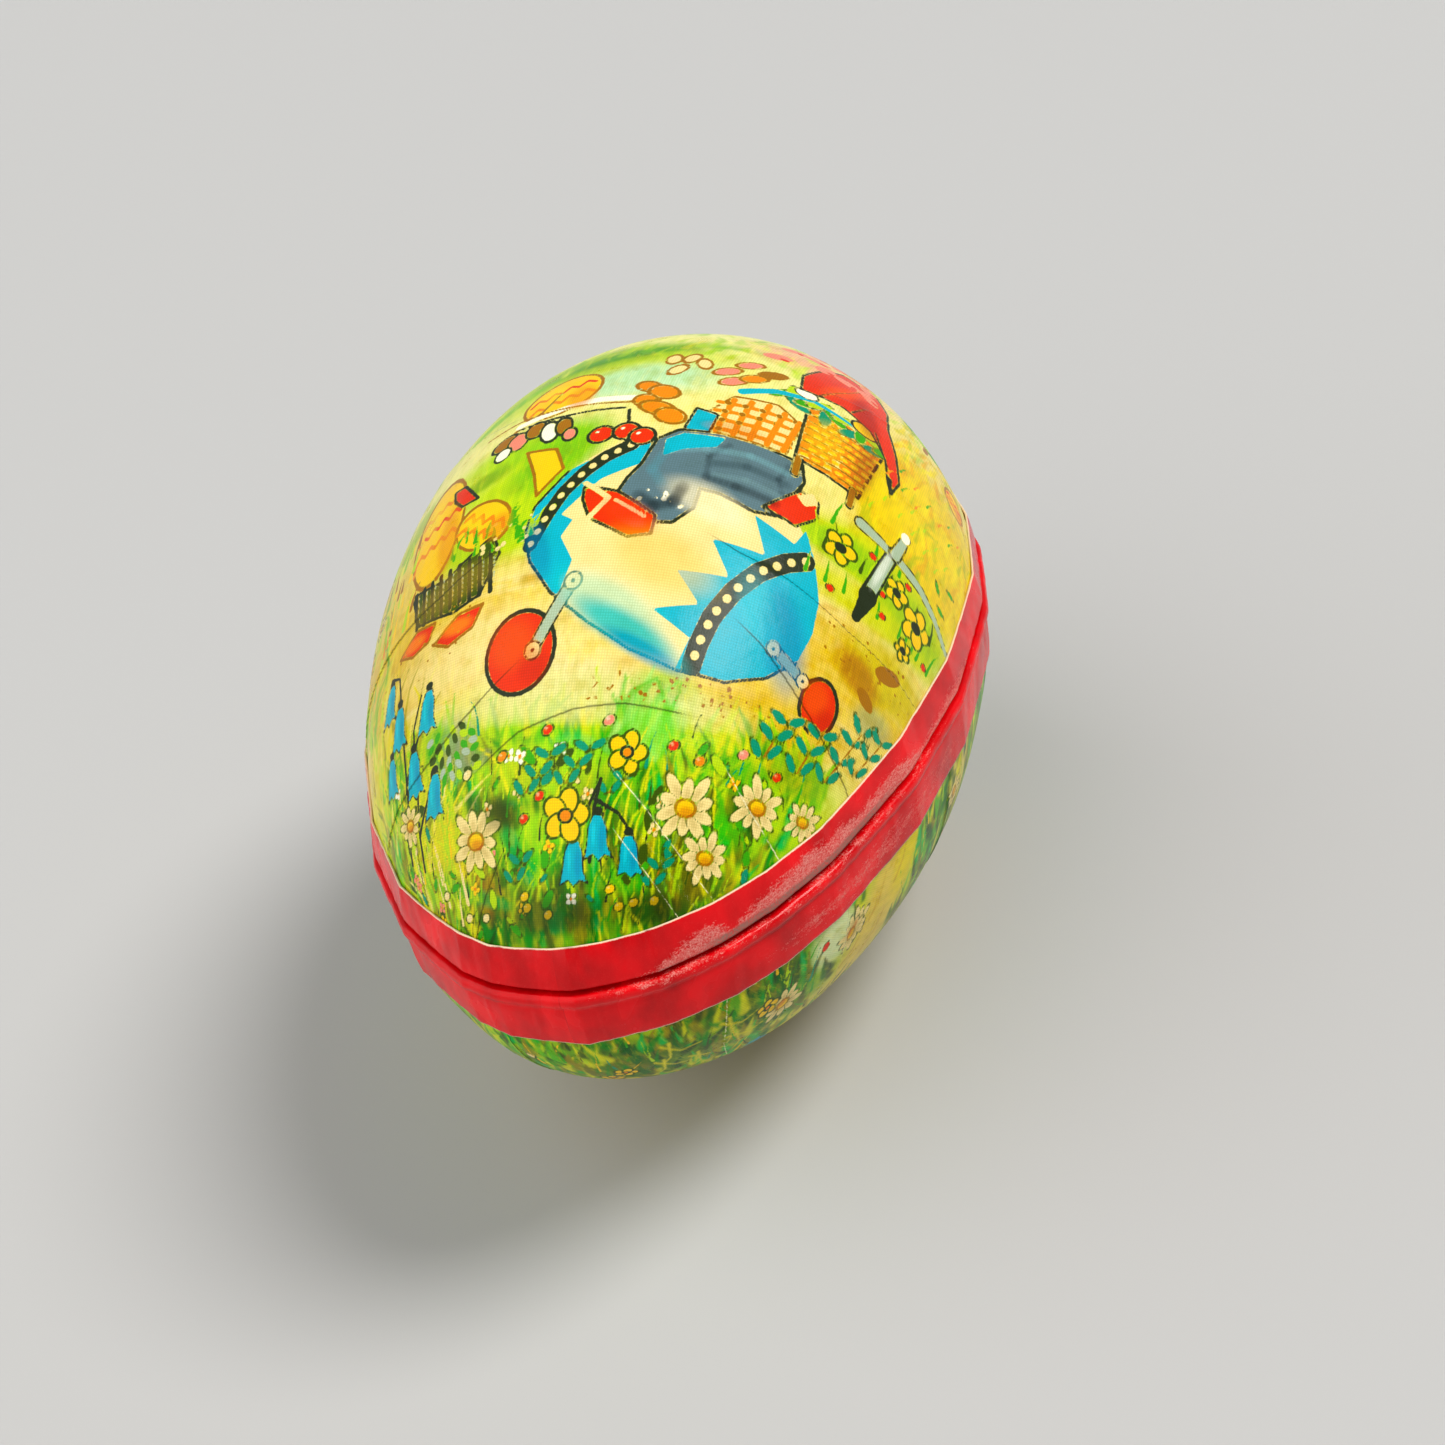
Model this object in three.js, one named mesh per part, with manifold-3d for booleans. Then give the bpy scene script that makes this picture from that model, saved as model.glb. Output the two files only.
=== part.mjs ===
// Two-part paper egg box: a moulded pulp egg, split along its length into a deeper base
// and a lid, covered with printed paper and bound in red glazed paper at both rims.
//
// Millimetres. +X runs along the egg towards its narrow end, +Z is up.
// The origin lies under the middle of the egg, on the surface that it rests on.

import * as THREE from 'three';
import { mergeVertices } from 'three/addons/utils/BufferGeometryUtils.js';
import Module from 'manifold-3d';

const wasm = await Module();
wasm.setup();

// ---------------------------------------------------------------- driving dimensions

const EGG_LENGTH = 76;         // tip to tip
const EGG_RADIUS = 25;         // half width where the taper is neutral, at mid length
const TAPER = 0.154;           // how much slimmer the narrow end is than the blunt end
const FULLNESS = 0.045;        // how much fuller both ends are than an ellipse
const SEAM_RISE = 2;           // the seam's height above the egg's long axis
const SEAM_GAP = 0.4;          // air left between the two bound rims
const PRESSED_FLAT = 0.45;     // how far the belly is flattened where the egg stands

const PRINT_THICKNESS = 0.2;   // printed paper
const PULP_THICKNESS = 1.2;    // moulded pulp wall
const LINING_THICKNESS = 0.15; // plain paper inside
const GLUE_LINE = 0.05;        // left between glued layers

const TAPE_THICKNESS = 0.2;    // glazed edging paper
const LID_TAPE_WIDTH = 3.2;    // seen height of the lid's edging
const BASE_TAPE_WIDTH = 4.75;  // seen height of the base's edging
const BEAD_WIDTH = 1;          // rolled fold of paper along the top of the base's edging
const BEAD_RISE = 0.3;         // how far that fold stands out

const COLLAR_THICKNESS = 0.8;  // card strip that the lid slips over
const COLLAR_CLEARANCE = 0.3;  // between the collar and the edging's inside leg
const COLLAR_RISE = 5;         // how far the collar stands above the seam
const COLLAR_DEPTH = 6;        // how far it reaches down inside the base

const [LOWER, UPPER] = [-1, 1];  // the two sides of the seam

const STEPS_ALONG = 18;        // facets from tip to tip
const STEPS_ROUND = 32;        // facets round the egg

// ---------------------------------------------------------------- depths below the printed face

const PRINT = { outer: 0, inner: PRINT_THICKNESS };
const PULP = layerUnder(PRINT, PULP_THICKNESS);
const LINING = layerUnder(PULP, LINING_THICKNESS);
const INSIDE_LEG = layerUnder(LINING, TAPE_THICKNESS);
const OUTSIDE_LEG = { outer: -GLUE_LINE - TAPE_THICKNESS, inner: -GLUE_LINE };
const COLLAR_FACE = INSIDE_LEG.inner + COLLAR_CLEARANCE;
const COLLAR = { outer: COLLAR_FACE, inner: COLLAR_FACE + COLLAR_THICKNESS };

// Heights from the egg's long axis.
const WIDEST = Math.max(...outline(PRINT.outer).map((point) => point.x));
const AXIS_HEIGHT = WIDEST - PRESSED_FLAT;
const FAR = EGG_LENGTH;

function layerUnder(above, thickness) {
  const outer = above.inner + GLUE_LINE;
  return { outer, inner: outer + thickness };
}

// ---------------------------------------------------------------- shapes

// The egg's outline, set in by a depth: x is the distance from the long axis and y runs
// along it. Every depth uses the same angles, so neighbouring layers stay parallel.
function outline(depth) {
  const half = EGG_LENGTH / 2;
  const points = [];
  for (let step = 0; step <= STEPS_ALONG; step += 1) {
    const angle = Math.PI * (1 - step / STEPS_ALONG);
    const [sine, cosine] = [Math.sin(angle), Math.cos(angle)];
    const shape = 1 - TAPER * cosine + FULLNESS * cosine ** 2;
    const radius = EGG_RADIUS * sine * shape;
    const slopeOfShape = (TAPER - 2 * FULLNESS * cosine) * sine;
    const slope = EGG_RADIUS * (cosine * shape + sine * slopeOfShape);
    const normal = new THREE.Vector2(half * sine, slope).normalize();
    const point = new THREE.Vector2(radius, half * cosine).addScaledVector(normal, -depth);
    const atTip = step === 0 || step === STEPS_ALONG;
    points.push(new THREE.Vector2(atTip ? 0 : point.x, point.y));
  }
  return points;
}

function solidFrom(geometry) {
  geometry.deleteAttribute('normal');
  geometry.deleteAttribute('uv');
  const merged = mergeVertices(geometry, 1e-5);
  const corners = merged.index.array;
  const triangles = [];
  for (let i = 0; i < corners.length; i += 3) {
    const [a, b, c] = corners.slice(i, i + 3);
    const flat = a === b || b === c || c === a;
    if (!flat) triangles.push(a, b, c);
  }
  return new wasm.Manifold(new wasm.Mesh({
    numProp: 3,
    vertProperties: new Float32Array(merged.attributes.position.array),
    triVerts: new Uint32Array(triangles),
  }));
}

function egg(depth) {
  const geometry = new THREE.LatheGeometry(outline(depth), STEPS_ROUND);
  geometry.rotateZ(-Math.PI / 2);
  return solidFrom(geometry);
}

function between(low, high) {
  const box = new THREE.BoxGeometry(2 * FAR, 2 * FAR, high - low);
  box.translate(0, 0, (low + high) / 2);
  return solidFrom(box);
}

// One half of a layer of the wall. The base's layers are pressed flat under the belly.
function half(layer, side) {
  const rim = SEAM_RISE + side * (SEAM_GAP / 2 + TAPE_THICKNESS + GLUE_LINE);
  if (side === UPPER) {
    return egg(layer.outer).intersect(between(rim, FAR)).subtract(egg(layer.inner));
  }
  const outside = egg(layer.outer).intersect(between(layer.outer - AXIS_HEIGHT, rim));
  const hollow = egg(layer.inner).intersect(between(layer.inner - AXIS_HEIGHT, FAR));
  return outside.subtract(hollow);
}

// A ring of the wall between two depths, cut level at two heights.
function ring(outer, inner, low, high) {
  return egg(outer).subtract(egg(inner)).intersect(between(low, high));
}

// Edging paper folded over a rim: an outside leg, a web across the rim and an inside leg.
function edging(side, width) {
  const [outer, inner] = [OUTSIDE_LEG.outer, INSIDE_LEG.inner];
  const fold = SEAM_RISE + side * SEAM_GAP / 2;
  const end = SEAM_RISE + side * width;
  const underWeb = fold + side * TAPE_THICKNESS;
  const past = end + side;
  const block = ring(outer, inner, Math.min(fold, end), Math.max(fold, end));
  const groove = ring(OUTSIDE_LEG.inner, INSIDE_LEG.outer,
    Math.min(underWeb, past), Math.max(underWeb, past));
  return block.subtract(groove);
}

// The base's edging is folded double at its top, which stands out as a bead.
function beadedEdging() {
  const top = SEAM_RISE - SEAM_GAP / 2;
  const outer = OUTSIDE_LEG.outer - BEAD_RISE;
  const buried = (OUTSIDE_LEG.outer + OUTSIDE_LEG.inner) / 2;
  return edging(LOWER, BASE_TAPE_WIDTH).add(ring(outer, buried, top - BEAD_WIDTH, top));
}

function collar() {
  return ring(COLLAR.outer, COLLAR.inner, SEAM_RISE - COLLAR_DEPTH, SEAM_RISE + COLLAR_RISE);
}

// ---------------------------------------------------------------- assembly

const FINISHES = {
  print: { color: 0xb9b53c, roughness: 0.45 },
  pulp: { color: 0x9a8d77, roughness: 0.95 },
  lining: { color: 0xe6dcc0, roughness: 0.85 },
  tape: { color: 0xd0121f, roughness: 0.3 },
  card: { color: 0xa69a82, roughness: 0.9 },
};

function piece(name, solid, finish) {
  const { vertProperties, triVerts } = solid.getMesh();
  const geometry = new THREE.BufferGeometry();
  geometry.setAttribute('position', new THREE.BufferAttribute(vertProperties, 3));
  geometry.setIndex(new THREE.BufferAttribute(triVerts, 1));
  geometry.computeVertexNormals();
  const material = new THREE.MeshStandardMaterial({ ...FINISHES[finish], metalness: 0 });
  const mesh = new THREE.Mesh(geometry, material);
  mesh.name = name;
  return mesh;
}

const base = new THREE.Group();
base.add(
  piece('lower_print', half(PRINT, LOWER), 'print'),
  piece('lower_shell', half(PULP, LOWER), 'pulp'),
  piece('lower_lining', half(LINING, LOWER), 'lining'),
  piece('lower_edge_tape', beadedEdging(), 'tape'),
  piece('collar', collar(), 'card'),
);

const lid = new THREE.Group();
lid.add(
  piece('upper_print', half(PRINT, UPPER), 'print'),
  piece('upper_shell', half(PULP, UPPER), 'pulp'),
  piece('upper_lining', half(LINING, UPPER), 'lining'),
  piece('upper_edge_tape', edging(UPPER, LID_TAPE_WIDTH), 'tape'),
);

const group = new THREE.Group();
group.position.z = AXIS_HEIGHT;
group.add(base, lid);

export default group;
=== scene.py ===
# %% [markdown]
# # A papier-mache Easter egg box covered in printed paper
#
# The real box is two pulp shells, a lid and a base, that meet in a level seam a
# little above the middle. Each shell is lined inside, covered outside with a
# colour-printed sheet, and bound at its rim with glossy red paper. A grey card
# collar glued into the base holds the lid.
#
# We start by loading the engineering model as a frame that must not move. Every
# size below comes from that frame, in millimetres, and is turned into metres only
# when a mesh is written.

# %% Load the frame
import math

import bpy
import numpy as np
from mathutils import Matrix, Vector


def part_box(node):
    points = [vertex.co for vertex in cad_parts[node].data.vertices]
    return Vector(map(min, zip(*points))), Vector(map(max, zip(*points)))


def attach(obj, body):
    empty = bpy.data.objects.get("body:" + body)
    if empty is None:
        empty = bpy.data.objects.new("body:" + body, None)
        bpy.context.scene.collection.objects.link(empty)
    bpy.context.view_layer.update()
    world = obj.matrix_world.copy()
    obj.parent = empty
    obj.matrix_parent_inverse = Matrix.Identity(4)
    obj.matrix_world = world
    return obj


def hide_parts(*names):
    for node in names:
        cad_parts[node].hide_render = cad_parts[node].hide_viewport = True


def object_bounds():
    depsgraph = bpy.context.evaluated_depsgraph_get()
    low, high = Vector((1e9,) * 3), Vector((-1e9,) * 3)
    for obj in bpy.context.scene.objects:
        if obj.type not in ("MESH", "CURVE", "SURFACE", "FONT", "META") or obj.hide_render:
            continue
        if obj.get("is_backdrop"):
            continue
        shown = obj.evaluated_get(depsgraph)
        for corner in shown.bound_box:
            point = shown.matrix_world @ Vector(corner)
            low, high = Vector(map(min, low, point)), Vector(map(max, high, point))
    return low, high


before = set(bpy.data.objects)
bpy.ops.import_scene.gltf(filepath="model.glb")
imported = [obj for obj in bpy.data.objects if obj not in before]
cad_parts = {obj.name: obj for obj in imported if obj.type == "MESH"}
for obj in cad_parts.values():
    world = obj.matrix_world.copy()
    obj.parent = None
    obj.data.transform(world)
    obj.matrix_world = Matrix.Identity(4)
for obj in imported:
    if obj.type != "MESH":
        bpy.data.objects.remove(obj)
cad_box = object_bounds()
MM = 0.001

# %% [markdown]
# ## The egg itself
#
# Everything on this object is a layer of one egg shape, so one good description of
# that shape is worth more than any number of pushed and pulled spheres. A unit
# sphere is stretched along X into the egg, and its girth changes along X, which
# makes one end narrower. A point is named by its direction round the vertical
# (alpha, 0 at the narrow end) and its angle from the pole of its half (psi).

# %% The egg's sizes, read from the frame
TAPER = 0.154
FULLNESS = 0.045
RIM_GAP = 0.45


def girth(x):
    return 1 - TAPER * x + FULLNESS * x * x


stations = np.linspace(-1, 1, 4001)
WIDEST = float(np.max(np.sqrt(1 - stations**2) * girth(stations)))
lower_corner, upper_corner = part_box("lower_print")
HALF_LENGTH = (upper_corner.x - lower_corner.x) / 2 / MM
HALF_WIDTH = (upper_corner.y - lower_corner.y) / 2 / MM / WIDEST
lid_lowest, lid_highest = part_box("upper_print")
AXIS = lid_highest.z / MM - HALF_WIDTH * WIDEST
SEAM = lid_lowest.z / MM - RIM_GAP - AXIS
LID, BASE = 1, -1
print(f"half length {HALF_LENGTH:.2f}, half width {HALF_WIDTH:.2f}")
print(f"axis {AXIS:.2f} above the table, seam {SEAM:.2f} above the axis")


# %% Points and normals of the egg
def sphere(alpha, psi, side):
    ring = np.sin(psi)
    return np.stack([ring * np.cos(alpha), ring * np.sin(alpha), side * np.cos(psi)], -1)


def egg(ball):
    radius = HALF_WIDTH * girth(ball[..., 0])
    return np.stack([HALF_LENGTH * ball[..., 0], radius * ball[..., 1], radius * ball[..., 2]], -1)


def outward(ball):
    x = ball[..., 0]
    radius = HALF_WIDTH * girth(x)
    slope = HALF_WIDTH * (2 * FULLNESS * x - TAPER)
    along = 2 * x * radius * radius - 2 * radius * slope * (1 - x * x)
    point = egg(ball)
    normal = np.stack([along / HALF_LENGTH, 2 * point[..., 1], 2 * point[..., 2]], -1)
    return normal / np.linalg.norm(normal, axis=-1, keepdims=True)


def polar_at(alpha, height, side, depth=0.0):
    """The polar angle at which a layer at this depth stands this high above the seam."""
    psi = np.full(np.shape(alpha), math.pi / 2)
    for _ in range(14):
        ball = sphere(alpha, psi, side)
        level = SEAM + height + depth * outward(ball)[..., 2]
        psi = np.arccos(np.clip(side * level / (HALF_WIDTH * girth(ball[..., 0])), -1, 1))
    return psi


rim_angle = np.degrees(polar_at(np.zeros(1), RIM_GAP, LID))[0]
print(f"rim angle at the narrow end: {rim_angle:.1f} degrees")

# %% [markdown]
# ## Unrolled paper
#
# The print was drawn flat, so the picture is easiest to describe on a flat sheet.
# Sheet coordinates are millimetres to the right and up, measured from the pole of
# each half: up is towards the blunt end, and the narrow end is at the bottom.

# %% Sheet coordinates
ACROSS, UP = 25.0, 32.0


def to_sheet(alpha, psi):
    return ACROSS * psi * np.sin(alpha), -UP * psi * np.cos(alpha)


# %% [markdown]
# ## Paper is never quite smooth
#
# Wet paper pasted over a dome cannot lie flat: it is slit from the edge inwards,
# and the flaps lap over each other. Between the flaps it stays slightly straight,
# so the egg has soft facets near its rim. One function gives how far the surface
# is pressed in at a place. Every layer uses the same function, so the layers nest.

# %% Slits in the paper: points of the cut, its raised side, dark painted-shadow line (-1) or pale cut edge (1)
LID_SLITS = [
    ([(-3, -18.9), (-8, -22.4), (-13, -25.3), (-18.5, -27.5), (-23, -29.6)], 1, -1),
    ([(-16, -30.5), (-16.3, -36.5)], 1, -1),
    ([(-4.2, -33.5), (-7, -37.5), (-9.8, -42)], 1, -1),
    ([(-8, -27.7), (-3, -24.7), (2, -23.2), (6, -22.7), (10.5, -22.9)], -1, -1),
    ([(5, -27), (9, -30.5), (12.6, -34), (17.5, -38.5)], 1, 1),
    ([(6, -32), (9.6, -35.7), (13.6, -40)], 1, 1),
    ([(15, -26), (18, -29), (22.5, -32.8)], -1, 1),
    ([(9.3, -8.4), (12.5, -9.5), (17, -10.2), (23, -11.6), (33, -12.5)], 1, -1),
    ([(13, -14.6), (16, -16.1), (21, -19.6), (28, -24.5)], -1, -1),
    ([(-6, -9), (-13, -11.5), (-22, -13), (-31, -15)], 1, -1),
    ([(-9, 6), (-18, 8), (-30, 9.5)], -1, -1),
    ([(14, 12), (22, 16), (33, 21)], 1, -1),
    ([(7, 20), (13, 29), (20, 38)], -1, 1),
    ([(-2, 22), (-3, 33), (-5, 47)], 1, -1),
    ([(-9, 18), (-16, 27), (-24, 34)], -1, 1),
]
BASE_SLITS = [
    ([(-4, -24), (-7, -34), (-10, -47)], 1, -1),
    ([(8, -25), (12, -34), (18, -43)], -1, 1),
    ([(14, -18), (22, -25), (31, -31)], 1, -1),
    ([(17, -4), (27, -7), (40, -10)], -1, -1),
    ([(16, 10), (26, 16), (36, 22)], 1, 1),
    ([(6, 22), (10, 34), (15, 46)], -1, -1),
    ([(-6, 22), (-10, 34), (-15, 46)], 1, -1),
    ([(-16, 10), (-26, 17), (-35, 22)], -1, 1),
    ([(-17, -6), (-28, -9), (-40, -12)], 1, -1),
    ([(-13, -18), (-20, -27), (-28, -34)], -1, -1),
]


def side_of_path(x, y, points):
    """Distance to a path, signed by side, and how far along it the nearest point is."""
    best = np.full(np.shape(x), 99.0)
    signed = np.full(np.shape(x), 99.0)
    along = np.zeros(np.shape(x))
    steps = [math.dist(a, b) for a, b in zip(points, points[1:])]
    start = 0.0
    for (ax, ay), (bx, by), step in zip(points, points[1:], steps):
        ux, uy = (bx - ax) / step, (by - ay) / step
        t = np.clip((x - ax) * ux + (y - ay) * uy, 0, step)
        dx, dy = x - ax - t * ux, y - ay - t * uy
        gap = np.hypot(dx, dy)
        nearer = gap < best
        turn = np.where(ux * dy - uy * dx >= 0, 1.0, -1.0)
        signed = np.where(nearer, gap * turn, signed)
        along = np.where(nearer, (start + t) / sum(steps), along)
        best = np.minimum(best, gap)
        start += step
    return signed, along


def ease(value, low, high):
    t = np.clip((value - low) / (high - low), 0, 1)
    return t * t * (3 - 2 * t)


# %% How far the paper is pressed in
waves = np.random.default_rng(11)
WAVES = [
    (waves.normal(size=3) * pitch, waves.uniform(0, 6.3), 0.6 / pitch)
    for pitch in (2.2, 2.6, 3.3, 4.1, 5.2, 6.7, 8.5, 11, 14)
]
CORNERS = np.radians(
    [2.6, 17.5, 29, 38, 49, 67.7, 83.4, 103, 119, 141, 160]
    + [178, 199, 215, 236, 254, 271, 290, 306, 322, 340, 347]
)
EVEN_PRESS, SWAY_PRESS = 0.09, 0.11
SLIT_STEP, SLIT_LIFT = 0.11, 0.05
FACET_DEPTH = 0.26
LONG_RUN = math.radians(17)


def facet(alpha):
    """0 at a corner of the rim, and most in the middle of a long straight run."""
    turn = np.mod(alpha, 2 * math.pi)
    ends = np.r_[CORNERS[-1] - 2 * math.pi, CORNERS, CORNERS[0] + 2 * math.pi]
    place = np.interp(turn, ends, np.arange(len(ends)))
    run = np.minimum(place.astype(int), len(ends) - 2)
    within = place - run
    long = np.minimum(np.diff(ends)[run] / LONG_RUN, 1) ** 2
    return 4 * within * (1 - within) * long


def relief(alpha, psi, side):
    ball = sphere(alpha, psi, side)
    sway = sum(size * np.sin(ball @ wave + phase) for wave, phase, size in WAVES)
    near_rim = ease(psi, 1.05, 1.5)
    pressed = EVEN_PRESS + SWAY_PRESS * np.tanh(sway * 1.3) * (1 - 0.6 * near_rim)
    pressed = pressed + FACET_DEPTH * facet(alpha) * near_rim
    x, y = to_sheet(alpha, psi)
    for points, raised, _ in LID_SLITS if side == LID else BASE_SLITS:
        signed, along = side_of_path(x, y, points)
        signed = signed * raised
        taper = ease(along, 0.02, 0.35)
        step = np.where(signed > 0, np.exp(-signed / 1.6), 0.0)
        lift = SLIT_LIFT * np.exp(-np.abs(signed) / 0.5)
        pressed = pressed + (SLIT_STEP * step - lift) * taper
    return np.maximum(pressed, 0)


def layer(alpha, psi, side, depth):
    """Points of the layer at this depth, in millimetres, on the table."""
    ball = sphere(alpha, psi, side)
    inset = (depth + relief(alpha, psi, side))[..., None]
    point = egg(ball) - outward(ball) * inset
    point[..., 2] = np.maximum(point[..., 2] + AXIS, np.maximum(depth, 0))
    return point


sample = relief(np.linspace(0, 6.28, 500), np.full(500, 1.2), LID)
print(f"pressed in between {sample.min():.2f} and {sample.max():.2f} mm")

# %% [markdown]
# ## Closed shells from rings
#
# A dome could be a UV sphere cut in half, but its points crowd together at the
# pole. Here the rings lose half their points every time the ring has shrunk to
# half its length, so the spacing stays even and fine print can be stored on the
# points. The outer face is fine, the hidden inner face is coarse, and one strip of
# faces closes the rim, so that each layer is a solid.


# %% Rings that halve towards the pole
def cap(columns, rows):
    """Ring fraction and angle of each point, rim first, and the faces between."""
    fractions, angles, faces = [], [], []
    counts, starts = [], []
    total = 0
    for row in range(rows):
        fraction = 1 - row / rows
        count = max(8, columns >> int(math.log2(1 / fraction)))
        counts.append(count)
        starts.append(total)
        total += count
        fractions.append(np.full(count, fraction))
        angles.append(np.arange(count) * 2 * math.pi / count)
    for row in range(rows - 1):
        here, above = counts[row], counts[row + 1]
        k = np.arange(above)
        nxt = (k + 1) % above
        upper, upper_next = starts[row + 1] + k, starts[row + 1] + nxt
        if here == above:
            lower, lower_next = starts[row] + k, starts[row] + nxt
            faces += np.stack([lower, lower_next, upper_next, upper], -1).tolist()
        else:
            a, b, c = (starts[row] + (2 * k + step) % here for step in (0, 1, 2))
            faces += np.stack([a, b, upper], -1).tolist()
            faces += np.stack([b, upper_next, upper], -1).tolist()
            faces += np.stack([b, c, upper_next], -1).tolist()
    k = np.arange(counts[-1])
    faces += [[int(starts[-1] + i), int(starts[-1] + (i + 1) % counts[-1]), total] for i in k]
    fractions.append(np.zeros(1))
    angles.append(np.zeros(1))
    return np.concatenate(fractions), np.concatenate(angles), faces


def make_mesh(name, points, faces):
    mesh = bpy.data.meshes.new(name)
    mesh.from_pydata((points * MM).tolist(), [], faces)
    mesh.validate()
    mesh.polygons.foreach_set("use_smooth", np.ones(len(mesh.polygons), bool))
    mesh.update()
    piece = bpy.data.objects.new(name, mesh)
    bpy.context.scene.collection.objects.link(piece)
    return piece


def make_dome(name, side, outer, inner, columns, rows, coarser=8):
    """A closed shell layer between two depths, and where its outer points lie."""
    fraction, alpha, faces = cap(columns, rows)
    height = side * RIM_GAP
    psi = fraction * polar_at(alpha, height, side, outer)
    few = columns // coarser
    in_fraction, in_alpha, in_faces = cap(few, max(8, rows // coarser))
    in_psi = in_fraction * polar_at(in_alpha, height, side, inner)
    offset = len(alpha)
    points = np.vstack([layer(alpha, psi, side, outer), layer(in_alpha, in_psi, side, inner)])
    if side == BASE:
        faces = [face[::-1] for face in faces]
    in_faces = [[offset + i for i in face] for face in in_faces]
    if side == LID:
        in_faces = [face[::-1] for face in in_faces]
    rim = []
    for j in range(few):
        fine = [(j * coarser + i) % columns for i in range(coarser + 1)]
        strip = [offset + j, offset + (j + 1) % few] + fine[::-1]
        rim.append(strip if side == LID else strip[::-1])
    piece = make_mesh(name, points, faces + in_faces + rim)
    print(f"{name}: {len(points)} points, {len(faces)} outer faces")
    return piece, np.r_[alpha, in_alpha], np.r_[psi, in_psi]


def store(piece, name, values, kind="FLOAT"):
    """Keeps one value for each point, for the material to read."""
    attribute = piece.data.attributes.new(name, kind, "POINT")
    field = {"FLOAT": "value", "FLOAT_VECTOR": "vector", "FLOAT_COLOR": "color"}[kind]
    attribute.data.foreach_set(field, np.ascontiguousarray(values, np.float32).ravel())


# %% Thickness of the layers, and the depth of each face below the printed surface
GLUE = 0.05
PRINT_IN = 0.2
PULP_OUT = PRINT_IN + GLUE
PULP_IN = PULP_OUT + 1.2
LINING_OUT = PULP_IN + GLUE
LINING_IN = LINING_OUT + 0.15

# %% Make the six shell layers
PRINT_COLUMNS = 1024
PRINT_ROWS = 236
lid_print, lid_alpha, lid_psi = make_dome("lid_print", LID, 0, PRINT_IN, PRINT_COLUMNS, PRINT_ROWS)
base_print, base_alpha, base_psi = make_dome(
    "base_print", BASE, 0, PRINT_IN, PRINT_COLUMNS, PRINT_ROWS,
)
HIDDEN_COLUMNS, HIDDEN_ROWS = 256, 56
lid_pulp, base_pulp, lid_lining, base_lining = (
    make_dome(name, side, outer, inner, HIDDEN_COLUMNS, HIDDEN_ROWS, coarser)[0]
    for name, side, outer, inner, coarser in [
        ("lid_pulp", LID, PULP_OUT, PULP_IN, 2),
        ("base_pulp", BASE, PULP_OUT, PULP_IN, 2),
        ("lid_lining", LID, LINING_OUT, LINING_IN, 1),
        ("base_lining", BASE, LINING_OUT, LINING_IN, 1),
    ]
)

# %% [markdown]
# ## Red edging and the collar
#
# The glossy red paper is folded over each rim like a binding: a leg outside, a web
# over the edge, and a leg inside. It is swept as one closed outline all the way
# round. Straight paper round a curve has to take up its slack in small pleats, and
# its cut edge runs in short straight lines from corner to corner.

# %% Pleats and edges of the edging
def round_distance(angle, centre):
    return np.angle(np.exp(1j * (angle - centre)))


def pleats(alpha, seed, count, size):
    """Small lengthwise-random ridges that stand across the strip."""
    draw = np.random.default_rng(seed)
    total = np.zeros(np.shape(alpha))
    for _ in range(count):
        centre, width = draw.uniform(0, 2 * math.pi), draw.uniform(0.006, 0.022)
        away = round_distance(alpha, centre) / width
        ridge = draw.uniform(0.3, 1) * size * np.exp(-(away**2))
        total = total + ridge * np.sign(draw.uniform(-0.4, 1))
    return total


def cut_edge(alpha, seed, size):
    """Unevenness of a cut edge: straight runs between corners, plus small nicks."""
    draw = np.random.default_rng(seed)
    knots = np.r_[CORNERS, CORNERS[0] + 2 * math.pi]
    lift = draw.uniform(-1, 1, len(CORNERS))
    lift = np.r_[lift, lift[0]]
    turn = np.mod(alpha - CORNERS[0], 2 * math.pi) + CORNERS[0]
    nicks = sum(np.sin(alpha * f + draw.uniform(0, 6)) / f for f in (37, 61, 93, 151)) * 6
    return size * (np.interp(turn, knots, lift) + 0.22 * nicks)


RIM_RADIUS = 31.5


def ring_solid(name, side, outline, columns):
    """Sweeps a closed outline of (height, depth) arrays round the egg."""
    alpha = np.arange(columns) * 2 * math.pi / columns
    rows = [[np.broadcast_to(v, columns) for v in pair] for pair in outline(alpha)]
    points, strip = [], []
    for height, depth in rows:
        psi = polar_at(alpha, height, side, 0.0)
        points.append(layer_ring(alpha, psi, side, depth))
        strip.append(np.stack([alpha * RIM_RADIUS, height, depth], -1))
    count = len(rows)
    points = np.concatenate(points)
    j = np.arange(columns)
    nxt = (j + 1) % columns
    faces = []
    for i in range(count):
        a, b = i * columns, (i + 1) % count * columns
        faces += np.stack([a + j, a + nxt, b + nxt, b + j], -1).tolist()
    piece = make_mesh(name, points, faces)
    store(piece, "strip", np.concatenate(strip), "FLOAT_VECTOR")
    print(f"{name}: {count} rows of {columns}")
    return piece


def layer_ring(alpha, psi, side, depth):
    ball = sphere(alpha, psi, side)
    point = egg(ball) - outward(ball) * (depth + relief_at_rim(alpha))[:, None]
    point[:, 2] += AXIS
    return point


def relief_at_rim(alpha):
    return EVEN_PRESS + FACET_DEPTH * facet(alpha)


# %% The two edgings
CUT_WANDER = 0.22
WEB = (0.2, 0.4)
INNER_LEG = (1.7, 1.9)
LEG_HEIGHT = 3.0
PASTE = 0.05
LID_STRIP, BASE_STRIP = 3.2, 4.75
FACE_ROWS = 22
BIG_PLEATS, FINE_PLEATS = (26, 0.07), (90, 0.035)
BEAD_HEIGHT, BEAD_REACH, BEAD_SWELL = 0.72, 0.52, 0.3
CREASE_HEIGHT, CREASE_REACH, CREASE_DEPTH = 1.42, 0.16, 0.07


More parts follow.
